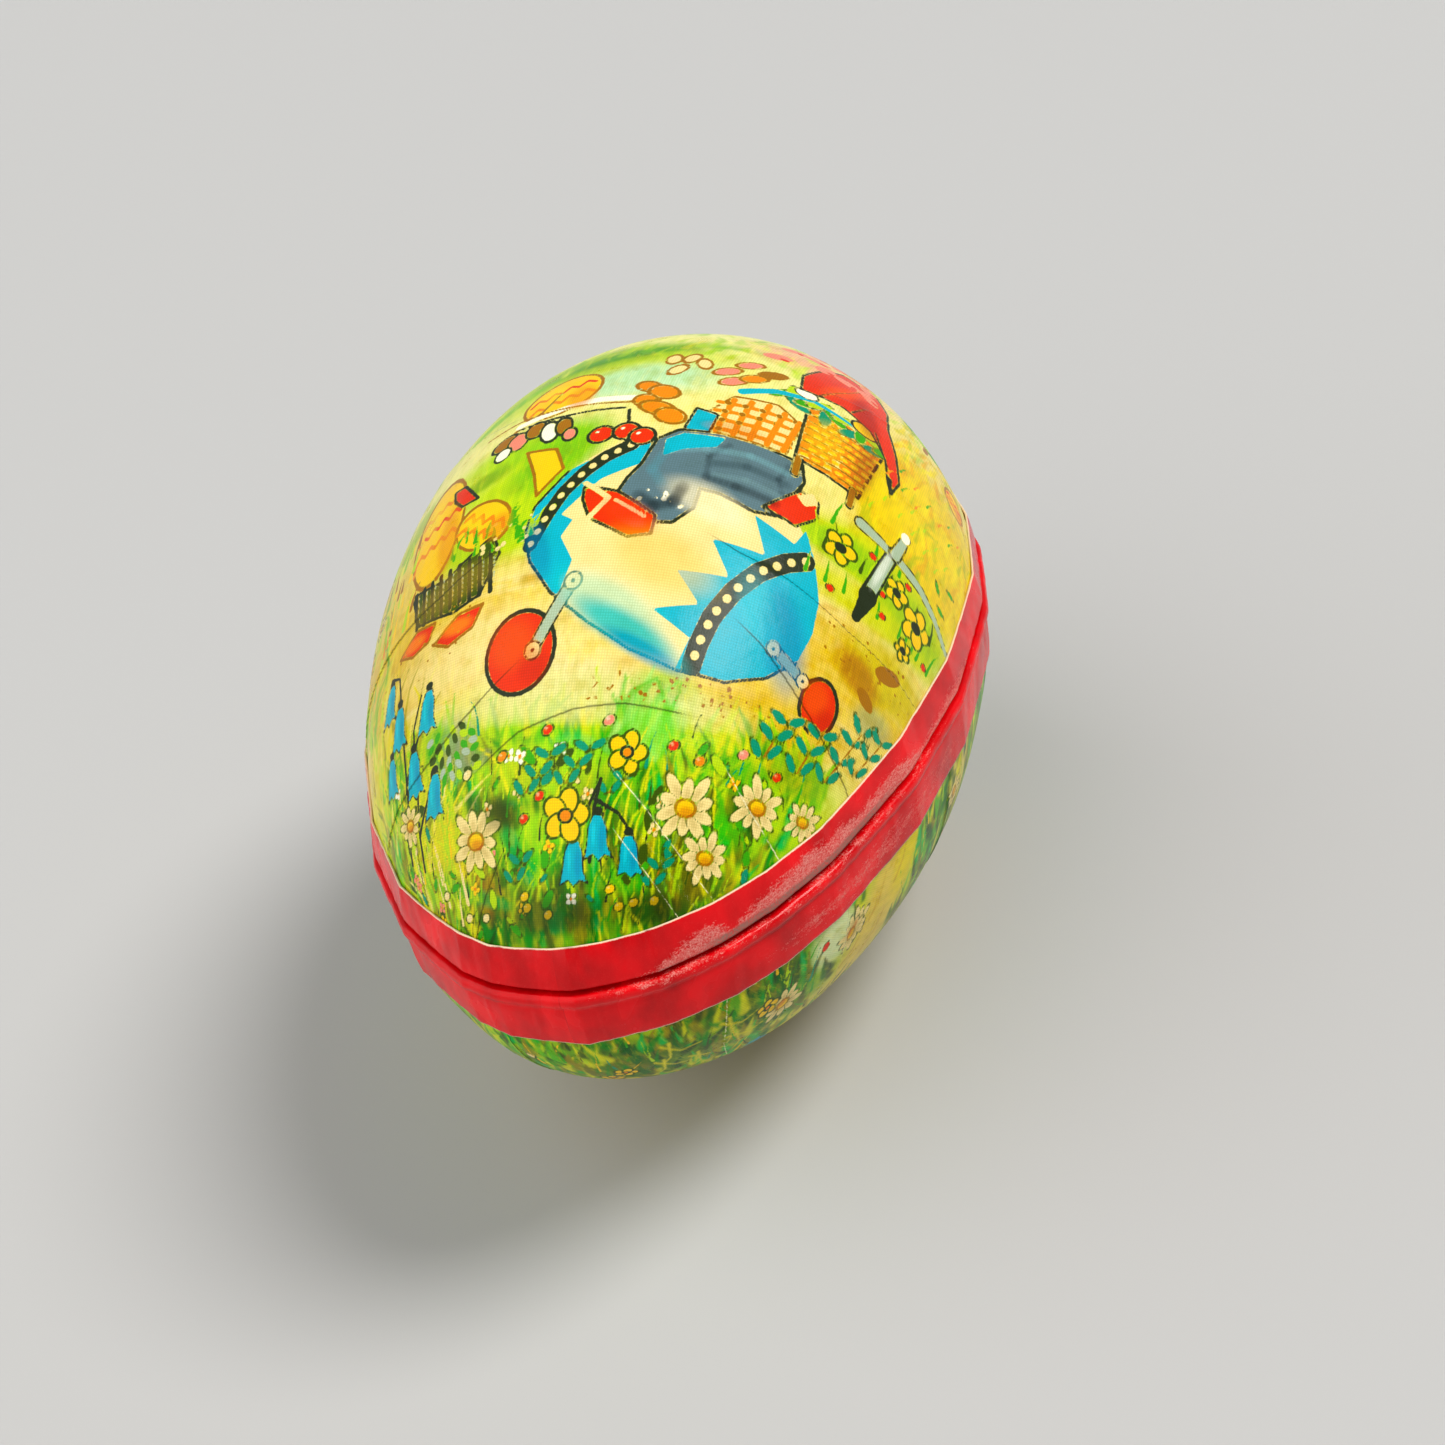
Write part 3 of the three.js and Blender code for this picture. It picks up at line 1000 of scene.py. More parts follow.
def wicker_basket(sheet):
    sheet.shape("orange", [(14.6, 1.2), (20.4, 0.8), (21.2, 8.2), (14.2, 8.3)], 0.3)
    for j in range(7):
        y = 1.7 + j * 0.95
        sheet.stroke("brown", [(14.7, y), (17.5, y - 0.16), (20.6, y - 0.1)], 0.22)
        for i in range(6):
            x = 15 + i * 1.02 + (j % 2) * 0.5
            sheet.stroke("yellow", [(x, y + 0.28), (x + 0.45, y + 0.34)], 0.34)
    for x in (14.9, 19.8):
        sheet.stroke("line", [(x, 1.2), (x + 0.1, -0.5)], 0.85)
        sheet.stroke("brown", [(x, 1.2), (x + 0.1, -0.4)], 0.55)
    sheet.stroke("orange", [(14, 8.3), (17.6, 8.5), (21.3, 8.2)], 0.9)
    sheet.shade("8a3b12", 20.2, 4.4, 1, 3.6, 0.5)
    sheet.shade("fbd05a", 16.4, 5, 1.6, 2.6, 0.4)
    for i in range(13):
        leaf(
            sheet, ("green", "lime", "teal")[i % 3], 11.8 + i * 0.78,
            8.7 + 0.8 * math.sin(i * 2.1), 1.3, 40 + 55 * (i % 4),
        )
    sheet.stroke("cyan", [(9, 7), (11.4, 8.6), (14.4, 9.6), (17.8, 9.4)], 0.8, 0.4)
    sheet.oval("yellow", 19, 10, 1.3, 0.9, 0, 0.2)
    sheet.oval("white", 13.6, 10.2, 1, 0.7, 0, 0.16)


def red_scarf(sheet):
    tail = [
        (13, 10.6), (12.6, 13.4), (13.6, 17), (15, 20.4), (18.2, 20.6), (19.9, 17.4),
        (20.6, 13.6), (22.2, 10), (23.3, 6.6), (22.9, 4.2), (22.3, 5.4), (21.4, 8.2),
        (19.4, 10.6), (16.6, 11.4),
    ]
    sheet.shape("red", tail, 0.26)
    for points in (
        [(14.6, 11.2), (16.4, 15.2), (17.3, 18.6)], [(17.4, 11.6), (18.4, 14.6)],
        [(19.8, 11), (21.8, 7.4), (22.8, 4.8)],
    ):
        sheet.stroke("line", points, 0.24, 0.1)
    sheet.stroke("line", [(22.4, 6), (22.9, 3.9)], 0.5, 0.2)
    sheet.shade("8e0f0c", 18.6, 12.4, 1.1, 3.4, 0.55, 20)
    sheet.shade("ff7a5a", 16, 14.4, 0.8, 3, 0.5, -28)
    for i in range(10):
        x, y = 10 + (i * 3.7) % 9, 15.6 + (i * 2.3) % 7
        sheet.oval("pink", x, y, 1.3, 0.8, 30 + 40 * i)
        sheet.oval("red", x + 0.6, y - 0.3, 0.45, 0.3, 20 * i)


slate_cloth(lid_sheet)
gingham(lid_sheet)
wicker_basket(lid_sheet)
red_scarf(lid_sheet)

# %% [markdown]
# To the left stand big yellow painted eggs in striped baskets, tulips and apples.


# %% Yellow eggs, striped baskets, apples
def painted_egg(sheet, x, y, wide, high, turn, bands):
    sheet.oval("yellow", x, y, wide, high, turn, 0.28, "brown")
    c, s = math.cos(math.radians(turn)), math.sin(math.radians(turn))
    for offset, ink in bands:
        half = wide * math.sqrt(max(0.05, 1 - (offset / high) ** 2)) * 0.86
        points = []
        for i in range(9):
            u, v = (i / 4 - 1) * half, offset + (0.34 if i % 2 else -0.34)
            points.append((x + u * c - v * s, y + u * s + v * c))
        sheet.stroke(ink, points, 0.36)
    sheet.shade("ffe032", x - wide * 0.35, y + high * 0.35, wide * 0.35, high * 0.3, 0.45, turn)
    sheet.shade("e58a12", x + wide * 0.6, y - high * 0.35, wide * 0.35, high * 0.55, 0.6, turn)


def striped_basket(sheet):
    body = [
        (-17.2, -9.3), (-12.5, -10.2), (-8, -7.9), (-7, -9.9), (-8.3, -13), (-11, -13.6),
        (-15.6, -12.8),
    ]
    sheet.shape("dark", body, 0.3)
    for i in range(9):
        x = -16.6 + i * 1.08
        sheet.stroke("line", [(x, -9.4), (x + 0.7, -13)], 0.46)
        sheet.stroke("steel", [(x + 0.5, -9.9), (x + 0.95, -12.4)], 0.16, 0.08)
    for body in (
        [(-18.2, -14.6), (-15.8, -13.2), (-13.2, -13.6), (-13.8, -15), (-16, -15.4)],
        [(-13.1, -15.6), (-10.4, -14), (-7.8, -13.9), (-8.6, -15.6), (-11.2, -16.4)],
    ):
        sheet.shape("red", body, 0.26, "brown")
    sheet.shade("a08a48", -12, -11.4, 4.6, 1.5, 0.45, 8)
    sheet.shade("ff9a3c", -16, -14.3, 1.6, 0.6, 0.6)
    sheet.shade("ff9a3c", -10.4, -15, 1.6, 0.6, 0.6)


def left_group(sheet):
    painted_egg(sheet, -5.8, 7.2, 3.4, 3.1, 12, [(0.8, "red"), (-0.9, "orange")])
    sheet.stroke("brown", [(-9.6, 3.6), (-7, 5.4), (-6, 7.6)], 0.4, 0.2)
    painted_egg(sheet, -15.4, -3.6, 3.1, 5.9, 6, [(2.6, "orange"), (0.6, "red"), (-1.6, "orange")])
    painted_egg(sheet, -9.6, -6.3, 3.1, 2.2, -28, [(0.5, "orange"), (-0.7, "orange")])
    striped_basket(sheet)
    sheet.shape(
        "red",
        [(-14.4, 0), (-13.1, -0.2), (-11.8, -1.8), (-10.9, -2.9), (-12.7, -2.8), (-13.9, -1.5)],
        0.28,
    )
    sheet.shape(
        "yellow", [(-6.9, 0), (-4.1, -0.6), (-2.9, -3), (-4.7, -5.3), (-5.5, -2.9)], 0.28,
        "brown",
    )
    for x, y, w, h, ink in [
        (-9.9, 2.8, 1.2, 0.9, "brown"), (-8.4, 2.1, 1, 1.2, "pink"),
        (-6.9, 2.8, 0.9, 1.1, "brown"), (-5.4, 1.9, 0.8, 1.4, "white"),
        (-4.2, 2.1, 0.7, 1.2, "brown"), (-3.4, 0.9, 0.6, 0.8, "pink"),
        (-9.6, 1.2, 0.8, 0.8, "white"),
    ]:
        sheet.oval(ink, x, y, w, h, 20, 0.24)
    sheet.stroke("line", [(-8.8, 3.9), (-4, 3.5), (0.6, 3.3)], 0.28)
    sheet.stroke("white", [(-9, 4.5), (-2, 4.9), (1, 4.6)], 0.7)
    sheet.stroke("brown", [(-12.5, 5.2), (-9, 5.3), (-1, 4.2), (1.4, 4)], 0.24)
    for x, y, w, h in [
        (1.8, 6.2, 1.1, 0.7), (3.2, 5.4, 1.3, 0.9), (2, 4.2, 1, 0.8), (3.2, 3.2, 1.6, 0.8),
        (4.4, 2.3, 1.3, 0.9),
    ]:
        sheet.oval("orange", x, y, w, h, -20, 0.24, "brown")
    sheet.stroke("line", [(1, 3), (1.5, 0.6)], 0.3)
    for x, y in ((-0.6, 0.2), (1.4, 0.4), (2.8, -0.2)):
        sheet.oval("red", x, y, 1.05, 0.95, 0, 0.26)
        sheet.oval("white", x - 0.35, y + 0.3, 0.2, 0.13, 30)
    for x, y, turn in [(2.6, 11, 90), (4, 11.3, 70), (5.2, 10.4, 110), (3.4, 9, 60)]:
        sheet.oval("cream", x, y, 1, 0.6, turn, 0.22, "brown")
    for x, y, ink in [
        (8, 8.2, "pink"), (9.4, 9.4, "orange"), (7.2, 9.6, "pink"), (10.6, 11, "brown"),
        (8.6, 11.6, "pink"),
    ]:
        sheet.oval(ink, x, y, 1.2, 0.6, 35, 0.18, "brown")
    speckle(sheet, 6, "cream", -9.4, -4.6, -9.4, -6.6, 16, (0.16, 0.28))
    grass(
        sheet, 21, -24, -17, -12, -3, 26, (1.5, 3.5), (0.3, 0.6),
        ["orange", "yellow", "lime", "brown"],
    )
    grass(sheet, 22, -13, -4, -9.5, -7, 30, (0.8, 2), (0.25, 0.45), ["green", "lime", "green"])


left_group(lid_sheet)


# %% [markdown]
# The right side has a yellow field with a garden tool, flowers and tufts.


# %% The field to the right
def right_field(sheet):
    for i in range(26):
        x = 18 + (i * 5.3) % 15
        y = -8.6 + (i * 2.7) % 5.4
        blade(
            sheet, ("green", "lime", "green", "dark")[i % 4], x, y, 1.8 + (i % 3) * 0.6,
            0.25 * math.sin(i), 0.4,
        )
    for i in range(20):
        x, y = 21.5 + (i * 3.9) % 9.5, 1 + (i * 4.7) % 9
        blade(sheet, ("lime", "orange", "lime", "green")[i % 4], x, y, 1.3, 0.5, 0.26)
    for x, y, r in [(20.3, -5, 1.5), (29.3, -6.1, 1.8), (26.3, -4.9, 1.3), (28.7, -9.2, 1)]:
        buttercup(sheet, x, y, r, "line")
    for x, y in [(27.2, -3.3), (25, -6.2), (25.6, -8.1), (23.2, -3.6), (31.6, -8.4), (20.4, -9)]:
        sheet.oval("red", x, y, 0.42, 0.36, 0, 0.12)
    sheet.stroke("line", [(24.9, -1.6), (23.7, -7.6)], 1.35, 1.7)
    sheet.stroke("steel", [(24.9, -1.6), (23.8, -7.4)], 0.85, 1.15)
    sheet.stroke("line", [(23.9, -7.4), (23.3, -9.9)], 1.7, 0.9)
    for points, width in (
        ([(21.3, -1.4), (24.9, -1.8)], 1.0),
        ([(24.9, -1.7), (28.4, -2.2), (31, -3.1), (33.6, -4.3)], 0.9),
        ([(25.1, -1.6), (25.6, 1.2)], 1.0),
    ):
        sheet.stroke("line", points, width + 0.36, width)
        sheet.stroke("steel", points, width, width * 0.7)
    sheet.oval("white", 25.5, 1.1, 0.5, 0.6)
    sheet.shade("f4f7ea", 24.3, -4, 0.35, 2.2, 0.6, -10)
    for x, y, w, turn in [(28, -12.6, 1.6, 20), (26.4, -16, 1.2, -30)]:
        sheet.oval("brown", x, y, w, w * 0.5, turn)
    for x, y in [(31.4, -1.4), (30.2, 0.4), (32, 2)]:
        leaf(sheet, "green", x, y, 0.7, 40 * x)
    speckle(sheet, 8, "brown", 2, 19, -22.6, -20.2, 60, (0.09, 0.2))
    speckle(sheet, 9, "brown", -22, -8, -18, -13, 26, (0.09, 0.16))
    speckle(sheet, 10, "brown", 20, 32, -15, -10.5, 30, (0.1, 0.2))


right_field(lid_sheet)

# %% [markdown]
# The meadow at the narrow end fills everything below the path, right down to the
# red edging, thick with blades and flowers.


# %% The meadow
def lid_meadow(sheet):
    bright = MEADOW_CODES[:6] + ["8fd33a", "c9e03a", "e4e23c", "5fbf35"]
    deep = MEADOW_CODES[4:] + ["3f9f2a", "2f6a1c", "6faf35", "b9c832"]
    soft_grass(sheet, 31, -22, 25, -29, -24, 320, (1.6, 4), (0.6, 1.5), bright)
    sheet.wash("e9dfa6", 3, -22.6, 13, 1.7, 0.65)
    soft_grass(sheet, 32, -23, 22, -37, -29, 420, (2, 5), (0.7, 1.9))
    soft_grass(sheet, 33, -20, 18, -45, -36, 320, (2.4, 6), (0.8, 2.2), deep)
    soft_grass(
        sheet, 34, -17, -9, -40, -31, 70, (4, 8), (0.4, 0.9),
        ["f0e04a", "c9e04a", "f7efa0", "8fbf35"], 0.95,
    )
    soft_grass(
        sheet, 35, 5, 10, -27, -23.4, 22, (2.6, 4.6), (0.9, 1.6), ["b4e086", "74c25a", "93d374"],
    )
    soft_grass(
        sheet, 36, -25, -14, -33, -18, 90, (2, 5), (0.3, 0.8),
        ["c9dc50", "e8d84a", "9a8f2c", "f2e58a"],
    )
    for x, y, w, h, code in [
        (-5, -31, 2.6, 2, "4a6030"), (0, -39, 5, 2, "2c4a14"), (9.5, -38.6, 3.4, 1.8, "2c4416"),
        (12.4, -36, 2.6, 2.6, "6a5a1c"), (-9.6, -25.5, 3, 2.2, "8a9a70"),
        (4, -29, 2, 2, "3a5a2a"), (-7, -37, 1.4, 2.4, "b0702a"), (15, -36, 2.4, 1.4, "4a5a1c"),
        (-3, -29, 2, 1.6, "2fa060"),
    ]:
        sheet.wash(code, x, y, w, h, 0.6)
    for x, y, w, h, code in [
        (2, -26.4, 3, 1.6, "5fd07a"), (9, -24.4, 2.2, 2.2, "8fe06a"),
        (-1.6, -34, 3, 2.4, "4fce6a"), (6.6, -30, 2, 2, "35a04a"), (16, -31.6, 2, 1.6, "5fd05a"),
        (-12, -24, 2, 1.4, "7fc84a"), (17, -26.6, 2.4, 1.4, "4fb84a"),
        (8, -36.4, 2, 1.2, "4fc04a"), (-11, -33.4, 3.2, 3.6, "e8d41e"),
        (22, -25, 3, 2, "8fae3a"), (1.5, -28, 3.4, 2, "b4e03a"), (-2.6, -27.6, 3.4, 2, "cfe022"),
        (-2, -32.6, 2.6, 1.8, "a8dc2a"), (-15, -28, 2, 3, "d8d832"),
    ]:
        sheet.wash(code, x, y, w, h, 0.65)
    for code, points, width in [
        ("3f5222", [(6.5, -31.5), (10, -36), (13, -40)], 2.4),
        ("4a5a28", [(-4.6, -30), (-3.2, -34), (-1, -38)], 2.2),
        ("2fa85a", [(-12.5, -35.6), (-8, -37.4), (-4, -38.6)], 3),
        ("38b868", [(-3.8, -32.6), (-1.6, -36.6)], 2.6),
        ("6b6428", [(12, -32.6), (14.6, -37.4)], 1.8),
        ("8f9c78", [(-10.4, -24.6), (-7.6, -26.6), (-5.8, -26)], 2.6),
        ("3c4a20", [(-7.6, -29.8), (-5, -30.4), (-3, -31.8)], 2.4),
    ]:
        sheet.brush(code, points, width, 0.65, 1.2)
    soft_grass(
        sheet, 37, -20, 20, -42, -28, 110, (2, 5), (0.25, 0.5),
        ["d9e85a", "b9dc3e", "8fd33a", "f0e86a"], 0.85,
    )
    grass(
        sheet, 38, -21, 24, -29, -24, 30, (1.4, 3.2), (0.16, 0.34),
        ["green", "lime", "dark", "teal"],
    )
    grass(
        sheet, 39, -21, 20, -43, -29, 60, (2, 5), (0.14, 0.3),
        ["dark", "line", "dark", "lime", "green"],
    )
    grass(sheet, 40, -17, -9, -40, -32, 18, (4, 7), (0.2, 0.45), ["yellow", "lime", "cream"])
    for i in range(34):
        x, y = -13 + (i * 7.3) % 6, -27.6 + (i * 3.1) % 4.4
        sheet.oval(("green", "dark", "steel", "lime")[i % 4], x, y, 0.5, 0.3, 40 * i)
    draw = np.random.default_rng(47)
    for _ in range(70):
        x, y = draw.uniform(-19, 21), draw.uniform(-41, -25)
        ink = ["green", "teal", "lime", "dark", "green", "lime"][draw.integers(6)]
        leaf(sheet, ink, x, y, draw.uniform(0.5, 1.1), draw.uniform(20, 160))
    for _ in range(26):
        x, y = draw.uniform(-19, 20), draw.uniform(-40, -26)
        ink = ["white", "yellow", "pink", "cream"][draw.integers(4)]
        for px, py, turn in polar_points(x, y, 0.34, 4, x):
            sheet.oval(ink, px, py, 0.32, 0.24, turn, 0.08, "dark")
        sheet.oval("orange", x, y, 0.17)
    for points, size in [
        ([(-2, -29.4), (-0.9, -28.2), (0.1, -26.9)], 0.85),
        ([(1.7, -28.8), (2.6, -27.6), (3.6, -26.4)], 0.8),
        ([(5.6, -29.4), (6.8, -28.4)], 0.7),
        ([(18.4, -24.6), (19, -23), (19.8, -21.6)], 0.95),
        ([(21.8, -24.8), (22.4, -23), (23.2, -21.4)], 0.95),
        ([(24.8, -24.4), (25.8, -22.4), (26.6, -20.4), (27.2, -18.8)], 0.95),
        ([(27.8, -22.4), (28.8, -20.4), (29.6, -18.6)], 0.85),
        ([(-3.4, -36.4), (-2.6, -35)], 0.8),
        ([(10.2, -36.6), (10.8, -35.2)], 0.8),
    ]:
        spray(sheet, "teal", points, size)
    for points in (
        [(-17.4, -33), (-16.6, -26), (-17, -20.5), (-17.9, -16.4), (-19.4, -15.8)],
        [(-15.4, -34), (-14.9, -27), (-15.2, -22), (-14.2, -19.4)],
        [(-16.6, -26), (-14.4, -22.6), (-13.2, -19.4)],
        [(-15.2, -31), (-13.2, -27.8), (-12.7, -26)],
        [(4.2, -35), (4.4, -30.6), (4.8, -28.4), (2.8, -33)],
        [(4.5, -30), (6.6, -31), (8, -32.6)],
    ):
        sheet.stroke("line", points, 0.36, 0.24)
    for x, y, size, lean in [
        (-19.5, -18, 1.15, 0.2), (-17.7, -20.9, 1.25, 0.1), (-13.3, -21, 1.2, 0.1),
        (-19.4, -24.6, 1.15, 0.15), (-15.3, -25.6, 1.3, 0.05), (-12.5, -28.1, 1.25, 0.15),
        (2.6, -35, 1.25, 0.05), (4.8, -32.9, 1.2, -0.05), (7.8, -34.3, 1.15, -0.1),
    ]:
        bluebell(sheet, x, y, size, lean)
    for x, y, r in [(6.8, -26.3, 1.65), (1.8, -31.3, 2.1)]:
        buttercup(sheet, x, y, r)
    daisy(sheet, -16.7, -29.6, 1.9, 9, "yellow")
    for x, y, r in [
        (-7.5, -32.7, 2.8), (12.4, -30, 2.8), (18.8, -28.7, 2.5), (14.8, -33.8, 2.3),
        (23.6, -28.6, 1.9),
    ]:
        daisy(sheet, x, y, r)
    for x, y, ink in [
        (-0.3, -24.7, "red"), (-0.7, -29.7, "red"), (20, -25.8, "red"), (-4.5, -26.4, "orange"),
        (5, -24, "pink"), (-2.2, -31.4, "red"), (10.6, -25.4, "red"), (13, -26.2, "orange"),
        (16.6, -24.9, "pink"), (-8.2, -27.3, "cream"), (-9.6, -39.2, "cream"),
        (-7.4, -39.4, "cream"), (-2.5, -37.8, "yellow"), (-2.3, -38.8, "yellow"),
        (-0.1, -39.5, "yellow"), (8.5, -38.3, "yellow"), (10.5, -38, "yellow"),
        (7.1, -38.7, "yellow"), (-12.4, -36.8, "cream"), (6.2, -37.2, "yellow"),
    ]:
        sheet.oval(ink, x, y, 0.55, 0.42, 30, 0.14, "dark")
        sheet.shade("fff6d0", x - 0.15, y + 0.12, 0.2, 0.16, 0.5)
    sheet.shade("1c2c0a", 1, -39.6, 6, 1.8, 0.5)
    sheet.shade("2c3a12", -4.6, -31, 1.8, 1.2, 0.5)
    sheet.shade("26360f", 10.5, -38.8, 3.4, 1.4, 0.55)


lid_meadow(lid_sheet)


# %% The far side of the lid
def lid_back(sheet):
    for x, y, r in [(-24, 17, 3.2), (-15, 27, 3.4), (-2, 30, 3.6), (12, 31, 3.2), (24, 23, 3)]:
        sheet.stroke("brown", [(x, y - r * 0.2), (x + 0.2, y - r * 1.5)], 0.8, 0.6)
        for px, py, turn in polar_points(x, y, r * 0.5, 7, x):
            sheet.oval(
                ("green", "lime")[int(turn / 51) % 2], px, py, r * 0.52, r * 0.42, turn, 0.16,
                "dark",
            )
        speckle(
            sheet, int(r * 100) + 7, "dark", x - r * 0.7, x + r * 0.7, y - r * 0.6, y + r * 0.6,
            18, (0.14, 0.26),
        )
        speckle(
            sheet, int(r * 90), "yellow", x - r * 0.6, x + r * 0.6, y - r * 0.3, y + r * 0.8, 12,
            (0.14, 0.24),
        )
    for i in range(15):
        x = -15 + i * 1.9
        y = 37.4 - 0.012 * x * x + (0.4 if i % 2 else 0)
        sheet.stroke("brown", [(x, y - 3.4), (x, y)], 0.85, 0.8)
        sheet.stroke("cream", [(x, y - 3.4), (x, y - 0.1)], 0.55, 0.5)
    for lift in (0.8, 2.2):
        rail = [(x, 34 - 0.012 * x * x + lift) for x in range(-16, 14, 3)]
        sheet.stroke("brown", rail, 0.6)
        sheet.stroke("cream", rail, 0.36)
    pale = ["c9e060", "e8e46a", "9ccf3c", "f0e890", "7fbf35", "b5d93f"]
    field = ["f6d808", "e2c21a", "f9e65a", "c9c02a", "a8b82a", "e8a81a"]
    soft_grass(sheet, 41, -30, 24, 12, 24, 200, (1.2, 3), (0.5, 1.4), pale, 0.5)
    soft_grass(
        sheet, 42, -36, -20, -20, 20, 320, (1.5, 4), (0.5, 1.3), pale + MEADOW_CODES[:4], 0.7,
    )
    soft_grass(sheet, 43, -32, 32, 38, 50, 420, (2, 5), (0.6, 1.6))
    soft_grass(sheet, 44, 21, 36, -2, 28, 220, (1.2, 3), (0.4, 1.1), field, 0.6)
    grass(sheet, 45, -32, 32, 38, 50, 90, (2, 4), (0.14, 0.34))
    for i in range(24):
        x, y = -27 + (i * 11.3) % 54, 39 + (i * 3.7) % 8
        (daisy if i % 3 else buttercup)(sheet, x, y, 1.2 + 0.3 * (i % 2))
    for i in range(12):
        x, y = -29 + (i * 2.3) % 5, -12 + i * 2.5
        (buttercup if i % 2 else daisy)(sheet, x, y, 1.2)
    for x, y, turn, ink in [
        (-17, 42, 15, "red"), (-7, 45.5, -10, "cyan"), (5, 44.5, 12, "orange"),
        (16, 41.5, -14, "red"),
    ]:
        painted_egg(sheet, x, y, 2.2, 2.9, turn, [(0.9, ink), (-0.2, "orange"), (-1.2, ink)])
    for x, y in [(-27, -2), (-28.5, 9), (29, 16)]:
        painted_egg(sheet, x, y, 1.6, 2.1, 8, [(0.5, "red"), (-0.6, "orange")])


lid_back(lid_sheet)
lid_sheet.keep(lid_print)

# %% [markdown]
# ## The base's picture
#
# The base is printed with the same meadow, its grass growing up from underneath
# towards the edging, and a cream path that runs right round.

# %% Draw the base
base_sheet = Sheet(base_alpha, base_psi, "eddf7e")


def base_picture(sheet):
    sheet.wash("e8d772", 0, 0, 30, 34, 0.9)
    for i in range(40):
        angle = i * 2 * math.pi / 40
        x, y = 33 * math.sin(angle), -42 * math.cos(angle)
        sheet.wash(("9ccf3c", "5da52c", "c9dc50", "79b832")[i % 4], x, y, 6, 6, 0.85)
    for code, x, y, wide, high, strength in [
        ("4f7a24", 12, -37, 10, 6, 0.75),
        ("3a5a1c", 3, -40, 7, 4, 0.6),
        ("6fbf2e", 16, -39, 4, 2.4, 0.7),
        ("ecd27c", 27, -21, 9, 4.4, 1.0),
        ("f0dc60", 31, -18, 4, 2.6, 0.8),
        ("e4ecc0", 25, -29, 3, 3.4, 0.95),
        ("5fb82e", 31, -12.4, 5, 3, 0.95),
        ("e9d48a", 34, -5.6, 3.6, 3, 0.85),
    ]:
        sheet.wash(code, x, y, wide, high, strength)
    draw = np.random.default_rng(51)
    inks = ["green", "lime", "dark", "green", "yellow", "teal", "lime"]
    for i in range(2600):
        angle = draw.uniform(0, 2 * math.pi)
        out = math.sqrt(draw.uniform(0.3, 1.0))
        x, y = 38 * out * math.sin(angle), -48 * out * math.cos(angle)
        length, swing = draw.uniform(2, 5), draw.normal(0, 0.3)
        ux, uy = math.sin(angle + swing), -math.cos(angle + swing)
        if (x > 18 and -25.5 < y < -16.5) or math.hypot(x - 25, y + 29) < 3:
            continue
        points = [
            (x, y), (x + ux * length * 0.5, y + uy * length * 0.5),
            (x + ux * length - 0.4 * uy, y + uy * length + 0.4 * ux),
        ]
        width = draw.uniform(0.3, 0.85)
        if i % 6:
            sheet.brush(MEADOW_CODES[i % 12 if x < 0 else 4 + i % 8], points, width * 2.4, 0.85)
        else:
            sheet.stroke(inks[i % 7], points, width * 0.45, 0.06)
    for x, y in [(6, -38), (9, -36), (13, -35), (17, -33), (8, -41), (14, -38)]:
        sheet.brush("d9cf4a", [(x, y), (x + 1.2, y + 2.4), (x + 3.4, y + 3.2)], 0.55, 0.9)
        sheet.brush("e8dc6a", [(x + 1, y), (x - 0.2, y + 3), (x - 2, y + 4.4)], 0.5, 0.9)
    for x, y in [(24, -20), (28, -22.4), (31, -19.4), (23, -23.4)]:
        sheet.brush("c89a48", [(x - 2, y - 0.6), (x, y), (x + 2.4, y - 0.2)], 0.5, 0.6)
    for i in range(80):
        angle, out = draw.uniform(0, 2 * math.pi), draw.uniform(0.5, 0.95)
        x, y = 37 * out * math.sin(angle), -46.5 * out * math.cos(angle)
        kind = i % 4
        if kind == 0:
            daisy(sheet, x, y, 1.6 + 0.4 * (i % 3))
        elif kind == 1:
            buttercup(sheet, x, y, 1.3)
        elif kind == 2:
            bluebell(sheet, x, y, 1.05, 0.15)
        else:
            sheet.oval(
                ("red", "orange", "cream", "pink")[i % 16 // 4], x, y, 0.6, 0.5, 0, 0.14, "dark",
            )
    for i in range(9):
        angle = i * 0.698 + 0.3
        x, y = 20 * math.sin(angle), -26 * math.cos(angle)
        ink = ("cyan", "yellow", "red")[i % 3]
        sheet.oval(ink, x, y, 2, 2.7, math.degrees(angle), 0.26)
        for k in (-1, 0, 1):
            c, s = math.cos(angle), math.sin(angle)
            sheet.stroke(
                "cream",
                [
                    (x - 1.3 * c - k * s, y - 1.3 * s + k * c),
                    (x + 1.3 * c - k * s, y + 1.3 * s + k * c),
                ],
                0.34,
            )
    speckle(sheet, 53, "brown", -18, 18, -24, 24, 500, (0.12, 0.3))
    speckle(sheet, 54, "green", -18, 18, -24, 24, 260, (0.15, 0.4))


base_picture(base_sheet)
base_sheet.keep(base_print)

# %% [markdown]
# ## Materials
#
# A material is a small network of nodes. Two helpers keep it readable: a class that
# lets sockets be added and multiplied like numbers, and a finish that makes nodes.

